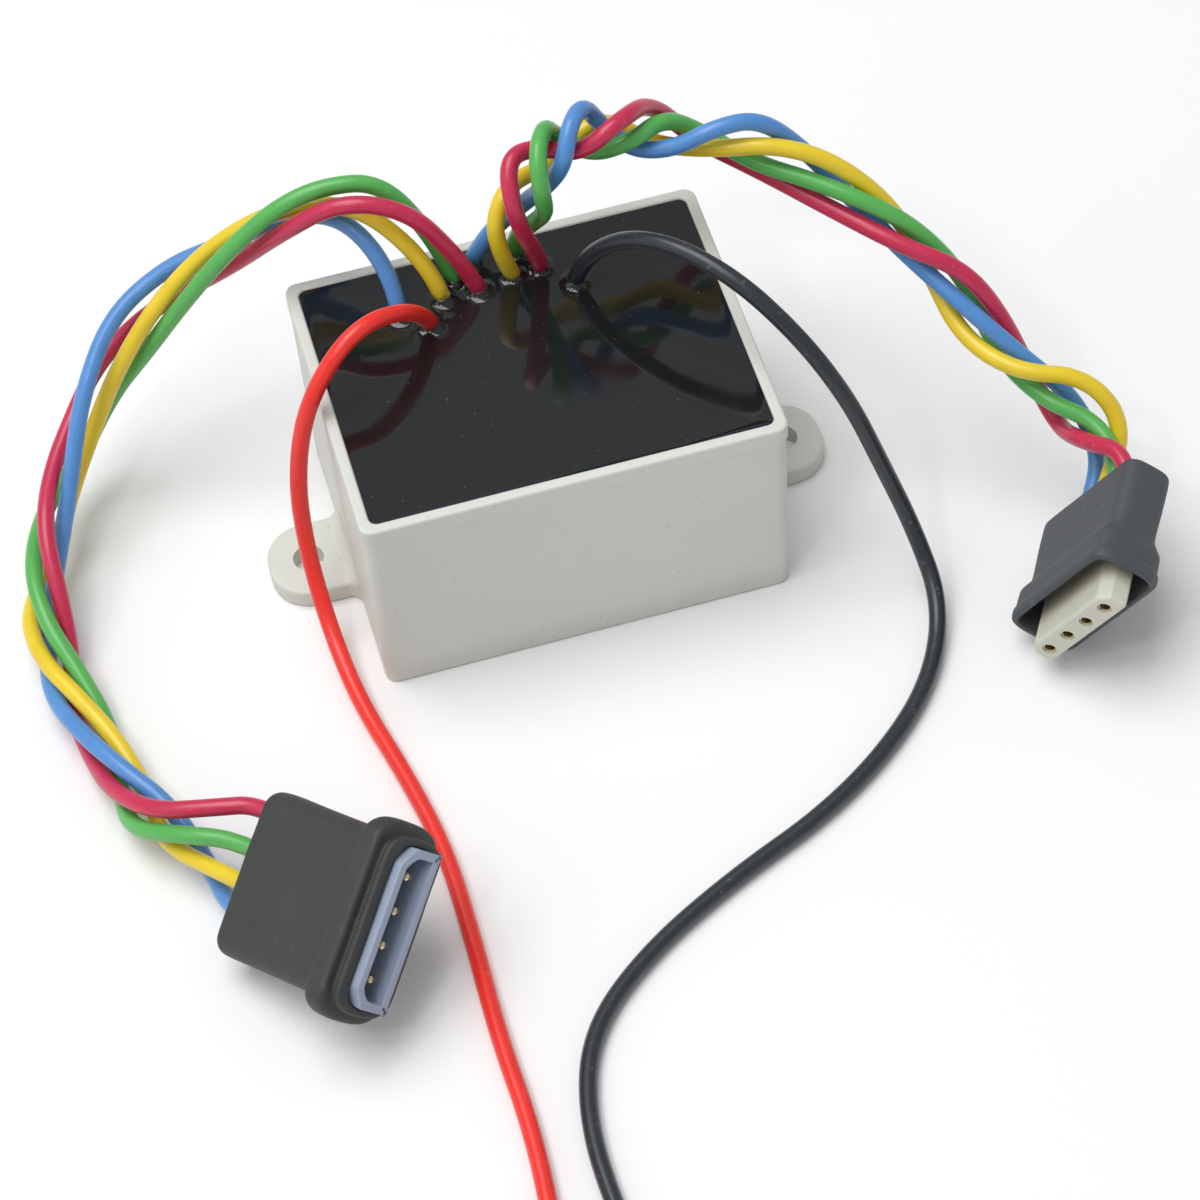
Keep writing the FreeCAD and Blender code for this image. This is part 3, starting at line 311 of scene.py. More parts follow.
class Signal:
    """A shader output that can be used in Python sums."""

    def __init__(self, graph, output):
        self.graph = graph
        self.output = output

    def math(self, operation, first, second):
        return self.graph.add("ShaderNodeMath", {"operation": operation}, {0: first, 1: second})

    def __add__(self, other):
        return self.math("ADD", self, other)

    __radd__ = __add__

    def __sub__(self, other):
        return self.math("SUBTRACT", self, other)

    def __rsub__(self, other):
        return self.math("SUBTRACT", other, self)

    def __mul__(self, other):
        return self.math("MULTIPLY", self, other)

    __rmul__ = __mul__

    def __gt__(self, other):
        return self.math("GREATER_THAN", self, other)


class Finish:
    """One material: its nodes, and a Principled surface at the end of them."""

    def __init__(self, name, **constants):
        self.material = bpy.data.materials.new(name)
        self.material.use_nodes = True
        self.tree = self.material.node_tree
        self.tree.nodes.clear()
        surface = self.add("ShaderNodeBsdfPrincipled", {}, constants)
        self.surface = surface.output.node
        self.add("ShaderNodeOutputMaterial", {}, {"Surface": surface}, None)
        self.place = self.add("ShaderNodeTexCoord", {}, {}, "Object")

    def add(self, kind, settings, sockets, output=0):
        """A node of that type: its settings first, then the values or links of its sockets."""
        node = self.tree.nodes.new(kind)
        for setting, given in settings.items():
            if setting == "stops":
                elements = node.color_ramp.elements
                elements[0].position, elements[0].color = given[0]
                elements[1].position, elements[1].color = given[-1]
                for position, shade in given[1:-1]:
                    elements.new(position).color = shade
            else:
                setattr(node, setting, given)
        for socket, given in sockets.items():
            if isinstance(given, Signal):
                self.tree.links.new(given.output, node.inputs[socket])
            else:
                node.inputs[socket].default_value = given
        return None if output is None else Signal(self, node.outputs[output])

    def grain(self, width, detail=2.0, stretch=(1, 1, 1)):
        """Noise from 0 to 1 whose features are about that wide."""
        place = self.add(
            "ShaderNodeVectorMath", {"operation": "MULTIPLY"}, {0: self.place, 1: stretch}
        )
        return self.add(
            "ShaderNodeTexNoise", {}, {"Vector": place, "Scale": 1 / width, "Detail": detail}
        )

    def step(self, signal, start, end):
        """A smooth step from 0 at start to 1 at end."""
        return self.add(
            "ShaderNodeMapRange", {"interpolation_type": "SMOOTHSTEP"},
            {0: signal, 1: start, 2: end},
        )

    def along(self, direction, origin=(0, 0, 0)):
        """How far a point of the piece lies along a direction from an origin."""
        offset = self.add(
            "ShaderNodeVectorMath", {"operation": "SUBTRACT"}, {0: self.place, 1: tuple(origin)}
        )
        return self.add(
            "ShaderNodeVectorMath", {"operation": "DOT_PRODUCT"},
            {0: offset, 1: tuple(direction)}, "Value",
        )

    def away(self, origin):
        """Distance of a point of the piece from an origin."""
        return self.add(
            "ShaderNodeVectorMath", {"operation": "DISTANCE"},
            {0: self.place, 1: tuple(origin)}, "Value",
        )

    def mix(self, factor, first, second):
        """A colour between two colours."""
        return self.add(
            "ShaderNodeMix", {"data_type": "RGBA"}, {0: factor, 6: first, 7: second}, 2
        )

    def feed(self, socket, signal):
        self.tree.links.new(signal.output, self.surface.inputs[socket])

    def relief(self, *layers):
        """Bump from layers of (height, depth in metres, strength), each on top of the one before."""
        normal = None
        for height, depth, strength in layers:
            sockets = {"Height": height, "Distance": depth, "Strength": strength}
            if normal:
                sockets["Normal"] = normal
            normal = self.add("ShaderNodeBump", {}, sockets, "Normal")
        self.feed("Normal", normal)


def shade(base, factor):
    """A colour made lighter or darker, with full alpha."""
    return (*(min(1.0, part * factor) for part in base), 1.0)


def moulded_ivory(base):
    """Satin moulded plastic with a fine spark texture, faint flow marks and darker patches towards the bottom.
    """
    finish = Finish("moulded_ivory", **{"IOR": 1.46})
    flow = finish.grain(22 * MM, 3, (1, 1, 2.5))
    tone = finish.mix(flow, shade(base, 0.955), shade(base, 1.03))
    height = finish.along((0, 0, 1))
    # Darker in patches towards the bottom of the box, over its lowest 5 mm.
    dark_patches = (1 - finish.step(height, 0, 5 * MM)) * finish.grain(2.5 * MM, 4)
    tone = finish.mix(dark_patches * 0.45, tone, shade((0.42, 0.40, 0.34), 1))
    speck = finish.step(finish.grain(0.9 * MM, 1), 0.715, 0.76)
    tone = finish.mix(speck * 0.3, tone, shade((0.33, 0.30, 0.25), 1))
    finish.feed("Base Color", tone)
    finish.feed("Roughness", 0.36 + 0.16 * finish.grain(6 * MM, 3))
    scratch = finish.step(finish.grain(1.6 * MM, 2, (0.12, 1, 1.7)), 0.6, 0.66)
    finish.relief(
        (finish.grain(14 * MM, 1), 0.25 * MM, 0.25),
        (finish.grain(0.28 * MM, 1), 0.02 * MM, 0.5),
        (scratch, -0.012 * MM, 0.35),
    )
    return finish.material


def cast_resin(base):
    """Glossy black resin with slow waves, pimples towards its rear corners and a little dust."""
    finish = Finish("cast_resin", **{"IOR": 1.53, "Coat Weight": 0.1, "Coat Roughness": 0.03})
    dust = finish.step(finish.grain(0.45 * MM, 1), 0.76, 0.8)
    tone = finish.mix(dust * 0.25, shade(base, 1), shade((0.25, 0.25, 0.26), 1))
    finish.feed("Base Color", tone)
    smear = finish.step(finish.grain(9 * MM, 3, (1, 1.6, 1)), 0.42, 0.7)
    finish.feed("Roughness", 0.055 + 0.09 * smear + 0.2 * dust)
    rear = finish.step(finish.along((0, 1, 0)), RESIN_HIGH.y * 0.35, RESIN_HIGH.y * 0.9)
    finish.relief(
        (finish.grain(7 * MM, 1), 0.12 * MM, 0.28),
        (finish.grain(1.5 * MM, 1) * rear, 0.06 * MM, 0.5),
        (finish.grain(0.5 * MM, 1), 0.004 * MM, 0.4),
    )
    return finish.material


def extruded_vinyl(name, base, exit_point):
    """Satin insulation, a little soiled where it comes out of the resin."""
    finish = Finish(name, **{"IOR": 1.5, "Coat Weight": 0.12, "Coat Roughness": 0.12})
    tone = finish.mix(finish.grain(3.5 * MM, 3), shade(base, 0.88), shade(base, 1.1))
    scuff = finish.step(finish.grain(0.7 * MM, 3), 0.63, 0.74)
    tone = finish.mix(scuff * 0.22, tone, shade([0.5 * part + 0.25 for part in base], 1))
    near = 1 - finish.step(finish.away(exit_point), 0.9 * MM, 2.4 * MM)
    dark_patches = near * finish.step(finish.grain(0.9 * MM, 3), 0.3, 0.6)
    tone = finish.mix(dark_patches * 0.8, tone, shade((0.012, 0.011, 0.012), 1))
    finish.feed("Base Color", tone)
    finish.feed("Roughness", 0.27 + 0.14 * finish.grain(1.8 * MM, 3) + 0.2 * scuff)
    finish.relief(
        (finish.grain(2.6 * MM, 1), 0.05 * MM, 0.3),
        (finish.grain(0.35 * MM, 2), 0.012 * MM, 0.35),
    )
    return finish.material


def moulded_rubber(name, base):
    """Matt boot rubber with a fine grain, pale scuffs and bloom."""
    finish = Finish(name, **{"IOR": 1.5})
    bloom = finish.grain(5 * MM, 4)
    tone = finish.mix(bloom, shade(base, 0.82), shade(base, 1.2))
    scuff = finish.step(finish.grain(1.1 * MM, 4, (1, 1, 0.35)), 0.64, 0.75)
    tone = finish.mix(scuff * 0.35, tone, shade([2.4 * part for part in base], 1))
    finish.feed("Base Color", tone)
    finish.feed("Roughness", 0.5 + 0.18 * bloom)
    finish.relief(
        (finish.grain(3 * MM, 2), 0.1 * MM, 0.35),
        (finish.grain(0.22 * MM, 2), 0.02 * MM, 0.6),
    )
    return finish.material


def shroud_plastic(base, axis, origin, floor, rim):
    """Satin plastic in a grey-blue that is painted shade on white nylon, with more painted shade darkening it
    down in the hollow.
    """
    finish = Finish("shroud_plastic", **{"IOR": 1.5})
    # Painted shade: the colour darkens from the rim down to the floor of the hollow.
    level = finish.step(finish.along(axis, origin), floor, rim)
    cloud = finish.grain(2.2 * MM, 3)
    painted_hollow_shade = finish.mix(cloud, shade(base, 0.42), shade(base, 0.5))
    top = finish.mix(cloud, shade(base, 0.95), shade(base, 1.08))
    finish.feed("Base Color", finish.mix(level, painted_hollow_shade, top))
    finish.feed("Roughness", 0.3 + 0.15 * cloud)
    finish.relief((finish.grain(0.3 * MM, 2), 0.012 * MM, 0.4))
    return finish.material


def tongue_plastic(base, axis, origin, lip):
    """Unfilled cream plastic, darker and warmer towards the boot from painted shade with some yellowing, and
    faintly marked.
    """
    finish = Finish("tongue_plastic", **{"IOR": 1.5, "Subsurface Weight": 0.0})
    # Painted shade with some yellowing: a darker, browner tone where the tongue sits in the boot's mouth.
    root = 1 - finish.step(finish.along(axis, origin), lip - 1.2 * MM, lip + 1.4 * MM)
    cloud = finish.grain(2.4 * MM, 3)
    tone = finish.mix(cloud, shade(base, 0.93), shade(base, 1.05))
    tone = finish.mix(root * 0.5, tone, shade((0.40, 0.34, 0.22), 1))
    stain = finish.step(finish.grain(1.0 * MM, 3), 0.64, 0.75)
    tone = finish.mix(stain * 0.22, tone, shade((0.36, 0.31, 0.2), 1))
    finish.feed("Base Color", tone)
    finish.feed("Roughness", 0.3 + 0.15 * cloud)
    finish.relief((finish.grain(0.4 * MM, 2), 0.015 * MM, 0.4))
    return finish.material


def plated_metal(name, base, roughness):
    """Metal with a slightly uneven plating."""
    finish = Finish(name, **{"Metallic": 1.0})
    cloud = finish.grain(0.6 * MM, 3)
    finish.feed("Base Color", finish.mix(cloud, shade(base, 0.84), shade(base, 1.08)))
    finish.feed("Roughness", roughness + 0.14 * cloud)
    finish.relief((finish.grain(0.12 * MM, 2), 0.006 * MM, 0.4))
    return finish.material


def coated_part(name, base, roughness, bands=None):
    """A dipped or moulded component, with painted bands where it has them."""
    finish = Finish(name, **{"IOR": 1.5})
    cloud = finish.grain(1.2 * MM, 3)
    tone = finish.mix(cloud, shade(base, 0.85), shade(base, 1.12))
    if bands:
        direction, pitch, paint = bands
        ripple = finish.add(
            "ShaderNodeMath", {"operation": "PINGPONG"}, {0: finish.along(direction), 1: pitch}
        )
        tone = finish.mix(ripple > 0.7 * pitch, tone, shade(paint, 1))
    finish.feed("Base Color", tone)
    finish.feed("Roughness", roughness + 0.12 * cloud)
    finish.relief((finish.grain(0.5 * MM, 2), 0.03 * MM, 0.4))
    return finish.material


def weave_laminate(base):
    """Green solder mask over woven glass."""
    finish = Finish("weave_laminate", **{"IOR": 1.5})
    thread = [
        finish.add("ShaderNodeMath", {"operation": "PINGPONG"}, {0: finish.along(axis), 1: 0.35 * MM})
        for axis in ((1, 0, 0), (0, 1, 0))
    ]
    weave = (thread[0] + thread[1]) * (1 / (0.7 * MM))
    finish.feed("Base Color", finish.mix(weave, shade(base, 0.8), shade(base, 1.25)))
    finish.feed("Roughness", 0.3 + 0.12 * finish.grain(2 * MM, 2))
    finish.relief((weave, 0.02 * MM, 0.3))
    return finish.material


def pale_floor(base):
    finish = Finish("pale_floor", **{"Specular IOR Level": 0.2})
    finish.feed("Base Color", finish.mix(finish.grain(0.4, 2), shade(base, 0.985), shade(base, 1.01)))
    finish.feed("Roughness", 0.7 + 0.1 * finish.grain(0.05, 2))
    return finish.material


# ---- making pieces -------------------------------------------------------------------------------------

def link(name, data):
    piece = bpy.data.objects.new(name, data)
    bpy.context.scene.collection.objects.link(piece)
    return piece


def make_piece(name, bm, material, nodes=(), place=None, crease=None):
    """Turn a closed bmesh into a piece that stands for its CAD nodes."""
    if not all(edge.is_manifold for edge in bm.edges):
        raise RuntimeError(name + " isn't closed")
    bmesh.ops.recalc_face_normals(bm, faces=bm.faces[:])
    if place:
        bmesh.ops.transform(bm, matrix=place, verts=bm.verts[:])
    for face in bm.faces:
        face.smooth = True
    mesh = bpy.data.meshes.new(name)
    bm.to_mesh(mesh)
    bm.free()
    if crease:
        mesh.set_sharp_from_angle(angle=crease)
    mesh.materials.append(material)
    piece = link(name, mesh)
    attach(piece, "root")
    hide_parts(*nodes)
    return piece


def finish_nodes(names, material):
    """Give CAD nodes a finish."""
    for name in names:
        piece = frame["nodes"][name]
        if not piece.material_slots:
            piece.data.materials.append(material)
        for held in piece.material_slots:
            held.material = material


def subdivided(piece, levels):
    soft = piece.modifiers.new("soft", "SUBSURF")
    soft.levels = levels
    soft.render_levels = levels
    return piece


def connector_frame(mount, mouth_level, first, last):
    """A connector's own frame: X along its contacts, Z out of its mouth, origin on its rear face."""
    out = Vector(mount["axis"]).normalized()
    row = sum(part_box(last), Vector()) - sum(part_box(first), Vector())
    along = (row - out * row.dot(out)).normalized()
    turn = Matrix((along, out.cross(along), out)).transposed().to_4x4()
    return Matrix.Translation(Vector(mount["pos_m"]) - out * mouth_level) @ turn


def extrude(bm, faces):
    """Extrude faces and leave none inside: a sheet alone keeps its faces as the form's base."""
    alone = len(faces) == len(bm.faces)
    made = bmesh.ops.extrude_face_region(bm, geom=faces)["geom"]
    if not alone:
        left = [face for face in faces if face.is_valid]
        bmesh.ops.delete(bm, geom=left, context="FACES")
    verts = [part for part in made if isinstance(part, bmesh.types.BMVert)]
    return verts, [part for part in made if isinstance(part, bmesh.types.BMFace)]


def stack(sections, corner, cuts):
    """A closed form from round-cornered sections, (level, half length, half thickness), in order."""
    bm = bmesh.new()
    level, half_x, half_y = sections[0]
    ring = [bm.verts.new((x * half_x, y * half_y, level)) for x, y in ((-1, -1), (1, -1), (1, 1), (-1, 1))]
    bm.faces.new(ring)
    bmesh.ops.bevel(
        bm, geom=ring, offset=corner, affect="VERTICES", segments=4, profile=0.5, material=-1
    )
    long_edges = [edge for edge in bm.edges if edge.calc_length() > half_x]
    bmesh.ops.subdivide_edges(bm, edges=long_edges, cuts=cuts)
    top = bm.faces[:]
    for next_level, next_x, next_y in sections[1:]:
        verts, top = extrude(bm, top)
        bmesh.ops.scale(bm, vec=(next_x / half_x, next_y / half_y, 1), verts=verts)
        bmesh.ops.translate(bm, vec=(0, 0, next_level - level), verts=verts)
        level, half_x, half_y = next_level, next_x, next_y
    return bm


def roughen(bm, width, height):
    """Move every vertex a little, so that a moulded part isn't perfectly even."""
    bm.normal_update()
    for vert in bm.verts:
        vert.co += vert.normal * height * noise.noise(vert.co / width)


def wire_curve(name, points, radius):
    """A wire on one smooth line through its route's control points."""
    curve = bpy.data.curves.new(name, "CURVE")
    curve.dimensions = "3D"
    spline = curve.splines.new("NURBS")
    spline.points.add(len(points) - 1)
    for control, place in zip(spline.points, points):
        control.co = (*place, 1)
    spline.order_u = 3
    spline.use_endpoint_u = True
    spline.resolution_u = 10
    curve.bevel_depth = radius
    curve.bevel_resolution = 5
    curve.use_fill_caps = True
    return link(name + "_sleeve", curve)


def centreline(piece):
    """Points along a wire's own line."""
    bare = piece.data.copy()
    bare.bevel_depth = 0
    holder = bpy.data.objects.new("bare_line", bare)
    mesh = bpy.data.meshes.new_from_object(holder)
    points = [vert.co.copy() for vert in mesh.vertices]
    bpy.data.meshes.remove(mesh)
    bpy.data.objects.remove(holder)
    bpy.data.curves.remove(bare)
    return points


def exit_point(points):
    """Where a wire's line comes up through the resin's surface."""
    for low, high in zip(points, points[1:]):
        if low.z <= RESIN_HIGH.z <= high.z:
            return low.lerp(high, (RESIN_HIGH.z - low.z) / (high.z - low.z))
    raise RuntimeError("a wire never leaves the resin")


# ---- operators -----------------------------------------------------------------------------------------

class SURGE_OT_stage(bpy.types.Operator):
    """Make the floor, the lights and the camera"""

    bl_idname = "surge.stage"
    bl_label = "Stage"

    def execute(self, context):
        studio = context.scene.surge_studio
        bm = bmesh.new()
        bmesh.ops.create_grid(bm, x_segments=1, y_segments=1, size=studio.floor_size / 2)
        below = 0.05 * MM
        bmesh.ops.translate(bm, vec=(0, 0, CAD_BOX[0].z - below), verts=bm.verts[:])
        mesh = bpy.data.meshes.new("floor")
        bm.to_mesh(mesh)
        bm.free()
        mesh.materials.append(pale_floor(studio.floor_tint))
        link("floor", mesh)
        self.light("key_light", (-0.3, 0.1, 1.15), 0.85, studio.key, studio.aim)
        self.light("side_light", (-0.9, -0.15, 0.5), 0.6, studio.side, studio.aim)
        self.light("glint_light", (-0.25, -0.25, 0.55), 0.06, studio.glint, studio.aim)
        world = bpy.data.worlds.new("sky")
        world.use_nodes = True
        background = world.node_tree.nodes["Background"]
        background.inputs["Color"].default_value = (0.96, 0.98, 1.0, 1.0)
        background.inputs["Strength"].default_value = studio.sky
        context.scene.world = world
        self.camera(context.scene, studio)
        context.scene.view_settings.view_transform = "Standard"
        return {"FINISHED"}

    def light(self, name, place, size, power, aim):
        lamp = bpy.data.lights.new(name, "AREA")
        lamp.size = size
        lamp.energy = power
        holder = link(name, lamp)
        holder.location = place
        holder.rotation_euler = (Vector(aim) - Vector(place)).to_track_quat("-Z", "Y").to_euler()

    def camera(self, scene, studio):
        level = math.cos(studio.elevation)
        back = Vector((
            math.sin(studio.azimuth) * level,
            -math.cos(studio.azimuth) * level,
            math.sin(studio.elevation),
        ))
        camera = bpy.data.cameras.new("camera")
        camera.lens = studio.lens
        camera.sensor_width = 36
        camera.clip_start = 0.01
        holder = link("camera", camera)
        holder.location = Vector(studio.aim) + back * studio.distance
        turn = Quaternion(back, studio.roll) @ (-back).to_track_quat("-Z", "Y")
        holder.rotation_euler = turn.to_euler()
        scene.camera = holder


class SURGE_OT_plug(bpy.types.Operator):
    """Make the male connector: boot, keyed shroud and pins"""

    bl_idname = "surge.plug"
    bl_label = "Male connector"

    def execute(self, context):
        sizes = context.scene.surge_plug
        place = connector_frame(
            MOUNTS["male_plug_mouth"], sizes.mouth_level, "male_pin_1", "male_pin_4"
        )
        self.boot(sizes, place)
        self.shroud(sizes, place)
        pins = ["male_pin_%d" % number for number in range(1, 5)]
        finish_nodes(pins, plated_metal("plated_pin", context.scene.surge_finish.contact, 0.2))
        return {"FINISHED"}

    def boot(self, sizes, place):
        body_x, body_y = sizes.body_length / 2, sizes.body_thickness / 2
        collar_x, collar_y = sizes.collar_length / 2, sizes.collar_thickness / 2
        nose_x, nose_y = sizes.nose_length / 2, sizes.nose_thickness / 2
        mouth_x = sizes.shroud_length / 2 + 0.03 * MM
        mouth_y = sizes.shroud_thickness / 2 + 0.03 * MM
        collar = sizes.collar_level
        shoulder = collar + sizes.collar_height
        groove = sizes.nose_level - sizes.nose_height
        step = 0.3 * MM
        bm = stack([
            (0, body_x - 4 * step, body_y - 4 * step),
            (0, body_x - 1.6 * step, body_y - 1.6 * step),
            (step, body_x - 0.4 * step, body_y - 0.4 * step),
            (3 * step, body_x, body_y),
            (0.45 * collar, body_x - 0.3 * step, body_y - 0.2 * step),
            (collar - 4.5 * step, body_x, body_y),
            (collar - 2 * step, body_x + 0.2 * step, body_y + 0.25 * step),
            (collar - 0.6 * step, body_x + 1.6 * step, body_y + 1.2 * step),
            (collar + 0.6 * step, collar_x - 1.3 * step, collar_y - 1.4 * step),
            (collar + 2.2 * step, collar_x - 0.2 * step, collar_y - 0.2 * step),
            (collar + 4 * step, collar_x, collar_y),
            (shoulder - 3 * step, collar_x, collar_y),
            (shoulder - 1.2 * step, collar_x - 0.4 * step, collar_y - 0.3 * step),
            (shoulder - 0.2 * step, collar_x - 2 * step, collar_y - 1.4 * step),
            (shoulder, nose_x - 0.8 * step, nose_y - 1.6 * step),
            (groove, nose_x - 1.6 * step, nose_y - 1.8 * step),
            (groove + 0.4 * step, nose_x - 0.5 * step, nose_y - 0.6 * step),
            (groove + 1.4 * step, nose_x, nose_y),
            (sizes.nose_level - 0.8 * step, nose_x, nose_y),
            (sizes.nose_level, nose_x - 0.6 * step, nose_y - 0.6 * step),
            (sizes.nose_level, mouth_x + 0.3 * step, mouth_y + 0.3 * step),
            (sizes.nose_level - 0.6 * step, mouth_x, mouth_y),
            (sizes.shroud_start, mouth_x, mouth_y),
        ], sizes.corner, 9)
        self.pinch(bm, collar - 1.3 * step, 1.2 * step, body_y, 0.5 * MM)
        roughen(bm, 4 * MM, 0.09 * MM)
        boot = make_piece(
            "male_boot_shell", bm, moulded_rubber("boot_rubber_male", sizes.rubber),
            ["male_boot"], place,
        )
        subdivided(boot, 2)

    def pinch(self, bm, level, reach, thickness, depth):
        """A short crease across each broad face, deepest in the middle of the face."""
        width = 4.2 * MM
        for vert in bm.verts:
            near = abs(vert.co.z - level) < reach and abs(vert.co.y) > 0.7 * thickness
            if near and abs(vert.co.x) < 2.2 * width:
                fade = math.exp(-((vert.co.x / width) ** 2))
                vert.co.y -= math.copysign(depth * fade, vert.co.y)

    def shroud(self, sizes, place):
        half_x, half_y = sizes.shroud_length / 2, sizes.shroud_thickness / 2
        key_x, key_y = half_x - sizes.key_length, half_y - sizes.key_depth
        bm = bmesh.new()
        outline = [
            (-half_x, -half_y), (half_x, -half_y), (half_x, key_y),
            (key_x, half_y), (-key_x, half_y), (-half_x, key_y),
        ]
        corners = [bm.verts.new((x, y, sizes.shroud_start)) for x, y in outline]
        bm.faces.new(corners)
        bmesh.ops.bevel(
            bm, geom=corners, offset=2 * sizes.edge, affect="VERTICES", segments=2, profile=0.5,
            material=-1,
        )
        verts, top = extrude(bm, bm.faces[:])
        bmesh.ops.translate(bm, vec=(0, 0, sizes.mouth_level - sizes.shroud_start), verts=verts)
        bmesh.ops.recalc_face_normals(bm, faces=bm.faces[:])
        bmesh.ops.inset_region(bm, faces=top, thickness=sizes.wall, use_even_offset=True)
        verts, _ = extrude(bm, top)
        bmesh.ops.translate(bm, vec=(0, 0, sizes.shroud_floor - sizes.mouth_level), verts=verts)
        rim = [
            edge for edge in bm.edges
            if all(abs(vert.co.z - sizes.mouth_level) < 0.01 * MM for vert in edge.verts)
            and edge.calc_face_angle(0) > math.radians(60)
        ]
        bmesh.ops.bevel(
            bm, geom=rim, offset=sizes.edge, affect="EDGES", segments=3, profile=0.5, material=-1
        )
        axis = place.to_3x3().col[2]
        # The shroud's finish paints shade: grey-blue all over, and darker down in the hollow.
        finish = shroud_plastic(
            sizes.plastic, axis, place.translation, sizes.shroud_floor, sizes.mouth_level
        )
        make_piece(
            "male_shroud", bm, finish, ["male_housing"], place, math.radians(35)
        )


class SURGE_OT_socket(bpy.types.Operator):
    """Make the female connector: boot, tongue and sockets"""

    bl_idname = "surge.socket"
    bl_label = "Female connector"

    def execute(self, context):
        sizes = context.scene.surge_socket
        place = connector_frame(
            MOUNTS["female_socket_mouth"], sizes.tongue_level, "female_socket_1", "female_socket_4"
        )
        body_x, body_y = sizes.body_length / 2, sizes.body_thickness / 2
        flange_x, flange_y = sizes.flange_length / 2, sizes.flange_thickness / 2
        mouth_x, mouth_y = sizes.mouth_length / 2, sizes.mouth_thickness / 2
        flare, lip = sizes.flare_level, sizes.mouth_level
        floor = lip - sizes.mouth_depth
        step = 0.25 * MM
        bm = stack([
            (0, body_x - 4 * step, body_y - 4 * step),
            (0, body_x - 1.6 * step, body_y - 1.6 * step),
            (step, body_x - 0.4 * step, body_y - 0.4 * step),
            (3 * step, body_x, body_y),
            (0.5 * flare, body_x - 0.4 * step, body_y),
            (flare - 5 * step, body_x - 1.7 * step, body_y - 0.2 * step),
            (flare - 2 * step, body_x - 1.5 * step, body_y + 0.8 * step),
            (flare + 2 * step, flange_x - 1.4 * step, flange_y - 1.3 * step),
            (flare + 4 * step, flange_x - 0.8 * step, flange_y - 0.8 * step),
            (lip - 8 * step, flange_x - 0.8 * step, flange_y - 0.8 * step),
            (lip - 6.6 * step, flange_x - 0.6 * step, flange_y - 0.6 * step),
            (lip - 6 * step, flange_x, flange_y),
            (lip - 1.2 * step, flange_x, flange_y),
            (lip, flange_x - 0.7 * step, flange_y - 0.7 * step),
            (lip, mouth_x + 0.7 * step, mouth_y + 0.7 * step),
            (lip - step, mouth_x, mouth_y),
            (floor + step, mouth_x, mouth_y),
            (floor, mouth_x - step, mouth_y - step),
        ], sizes.corner, 7)
        roughen(bm, 5 * MM, 0.07 * MM)
        boot = make_piece(
            "female_boot_shell", bm, moulded_rubber("boot_rubber_female", sizes.rubber),
            ["female_boot"], place,
        )
        subdivided(boot, 2)
        axis = place.to_3x3().col[2]
        # The tongue's finish paints shade, with some yellowing, where it sits in the boot's mouth.
        finish_nodes(["female_housing"], tongue_plastic(sizes.tongue, axis, place.translation, lip))
        sockets = ["female_socket_%d" % number for number in range(1, 5)]
        finish_nodes(sockets, plated_metal("plated_socket", context.scene.surge_finish.contact, 0.28))
        return {"FINISHED"}


FEMALE_PIECES = ["female_boot_shell", "female_housing"]
FEMALE_PIECES += ["female_socket_%d" % number for number in range(1, 5)]


class SURGE_OT_wires(bpy.types.Operator):
    """Make the two twisted tails and the two leads with their bare ends"""

    bl_idname = "surge.wires"
    bl_label = "Wires"

    def execute(self, context):
        sizes = context.scene.surge_wires
        tin = plated_metal("tinned_strand", context.scene.surge_finish.tin, 0.26)
        for name, points in ROUTES.items():
            shade_name = name.split("_")[0 if name.endswith("lead") else 1]
            piece = wire_curve(name, points, sizes.diameter / 2)
            line = centreline(piece)
            leaves = exit_point(line)
            base = getattr(sizes, shade_name)
            piece.data.materials.append(extruded_vinyl(name + "_vinyl", base, leaves))
            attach(piece, "root")
            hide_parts(name)
            if name.endswith("lead"):
                strands = self.bare_end(name, points, sizes, tin)
        return {"FINISHED"}

    def bare_end(self, name, points, sizes, material):
        """Six tinned strands twisted round a seventh."""
        low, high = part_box(name + "_tip")
        end = Vector(points[-1])
        direction = (end - Vector(points[-2])).normalized()
        reach = abs((high - low).dot(Vector(map(abs, direction)))) * 0.98
        reach = min(reach, 6 * MM)
        bm = bmesh.new()
        steps = 20
        for strand in range(7):
            offset = Vector((sizes.strand_diameter if strand else 0, 0, 0))
            turn = Matrix.Rotation(math.radians(60 * strand), 4, "Z")
            ring = bmesh.ops.create_circle(
                bm, cap_ends=True, radius=sizes.strand_diameter / 2, segments=10,
                matrix=turn @ Matrix.Translation(offset),
            )["verts"]
            face = ring[0].link_faces[:]
            bmesh.ops.spin(
                bm, geom=face + face[0].edges[:] + ring, cent=(0, 0, 0), axis=(0, 0, 1),
                dvec=(0, 0, reach / steps), angle=sizes.strand_twist, steps=steps,
                use_merge=False, use_normal_flip=False, use_duplicate=False,
            )
        place = Matrix.Translation(end) @ direction.to_track_quat("Z", "Y").to_matrix().to_4x4()
        return make_piece(
            name + "_strands", bm, material, [name + "_tip"], place, math.radians(50)
        )


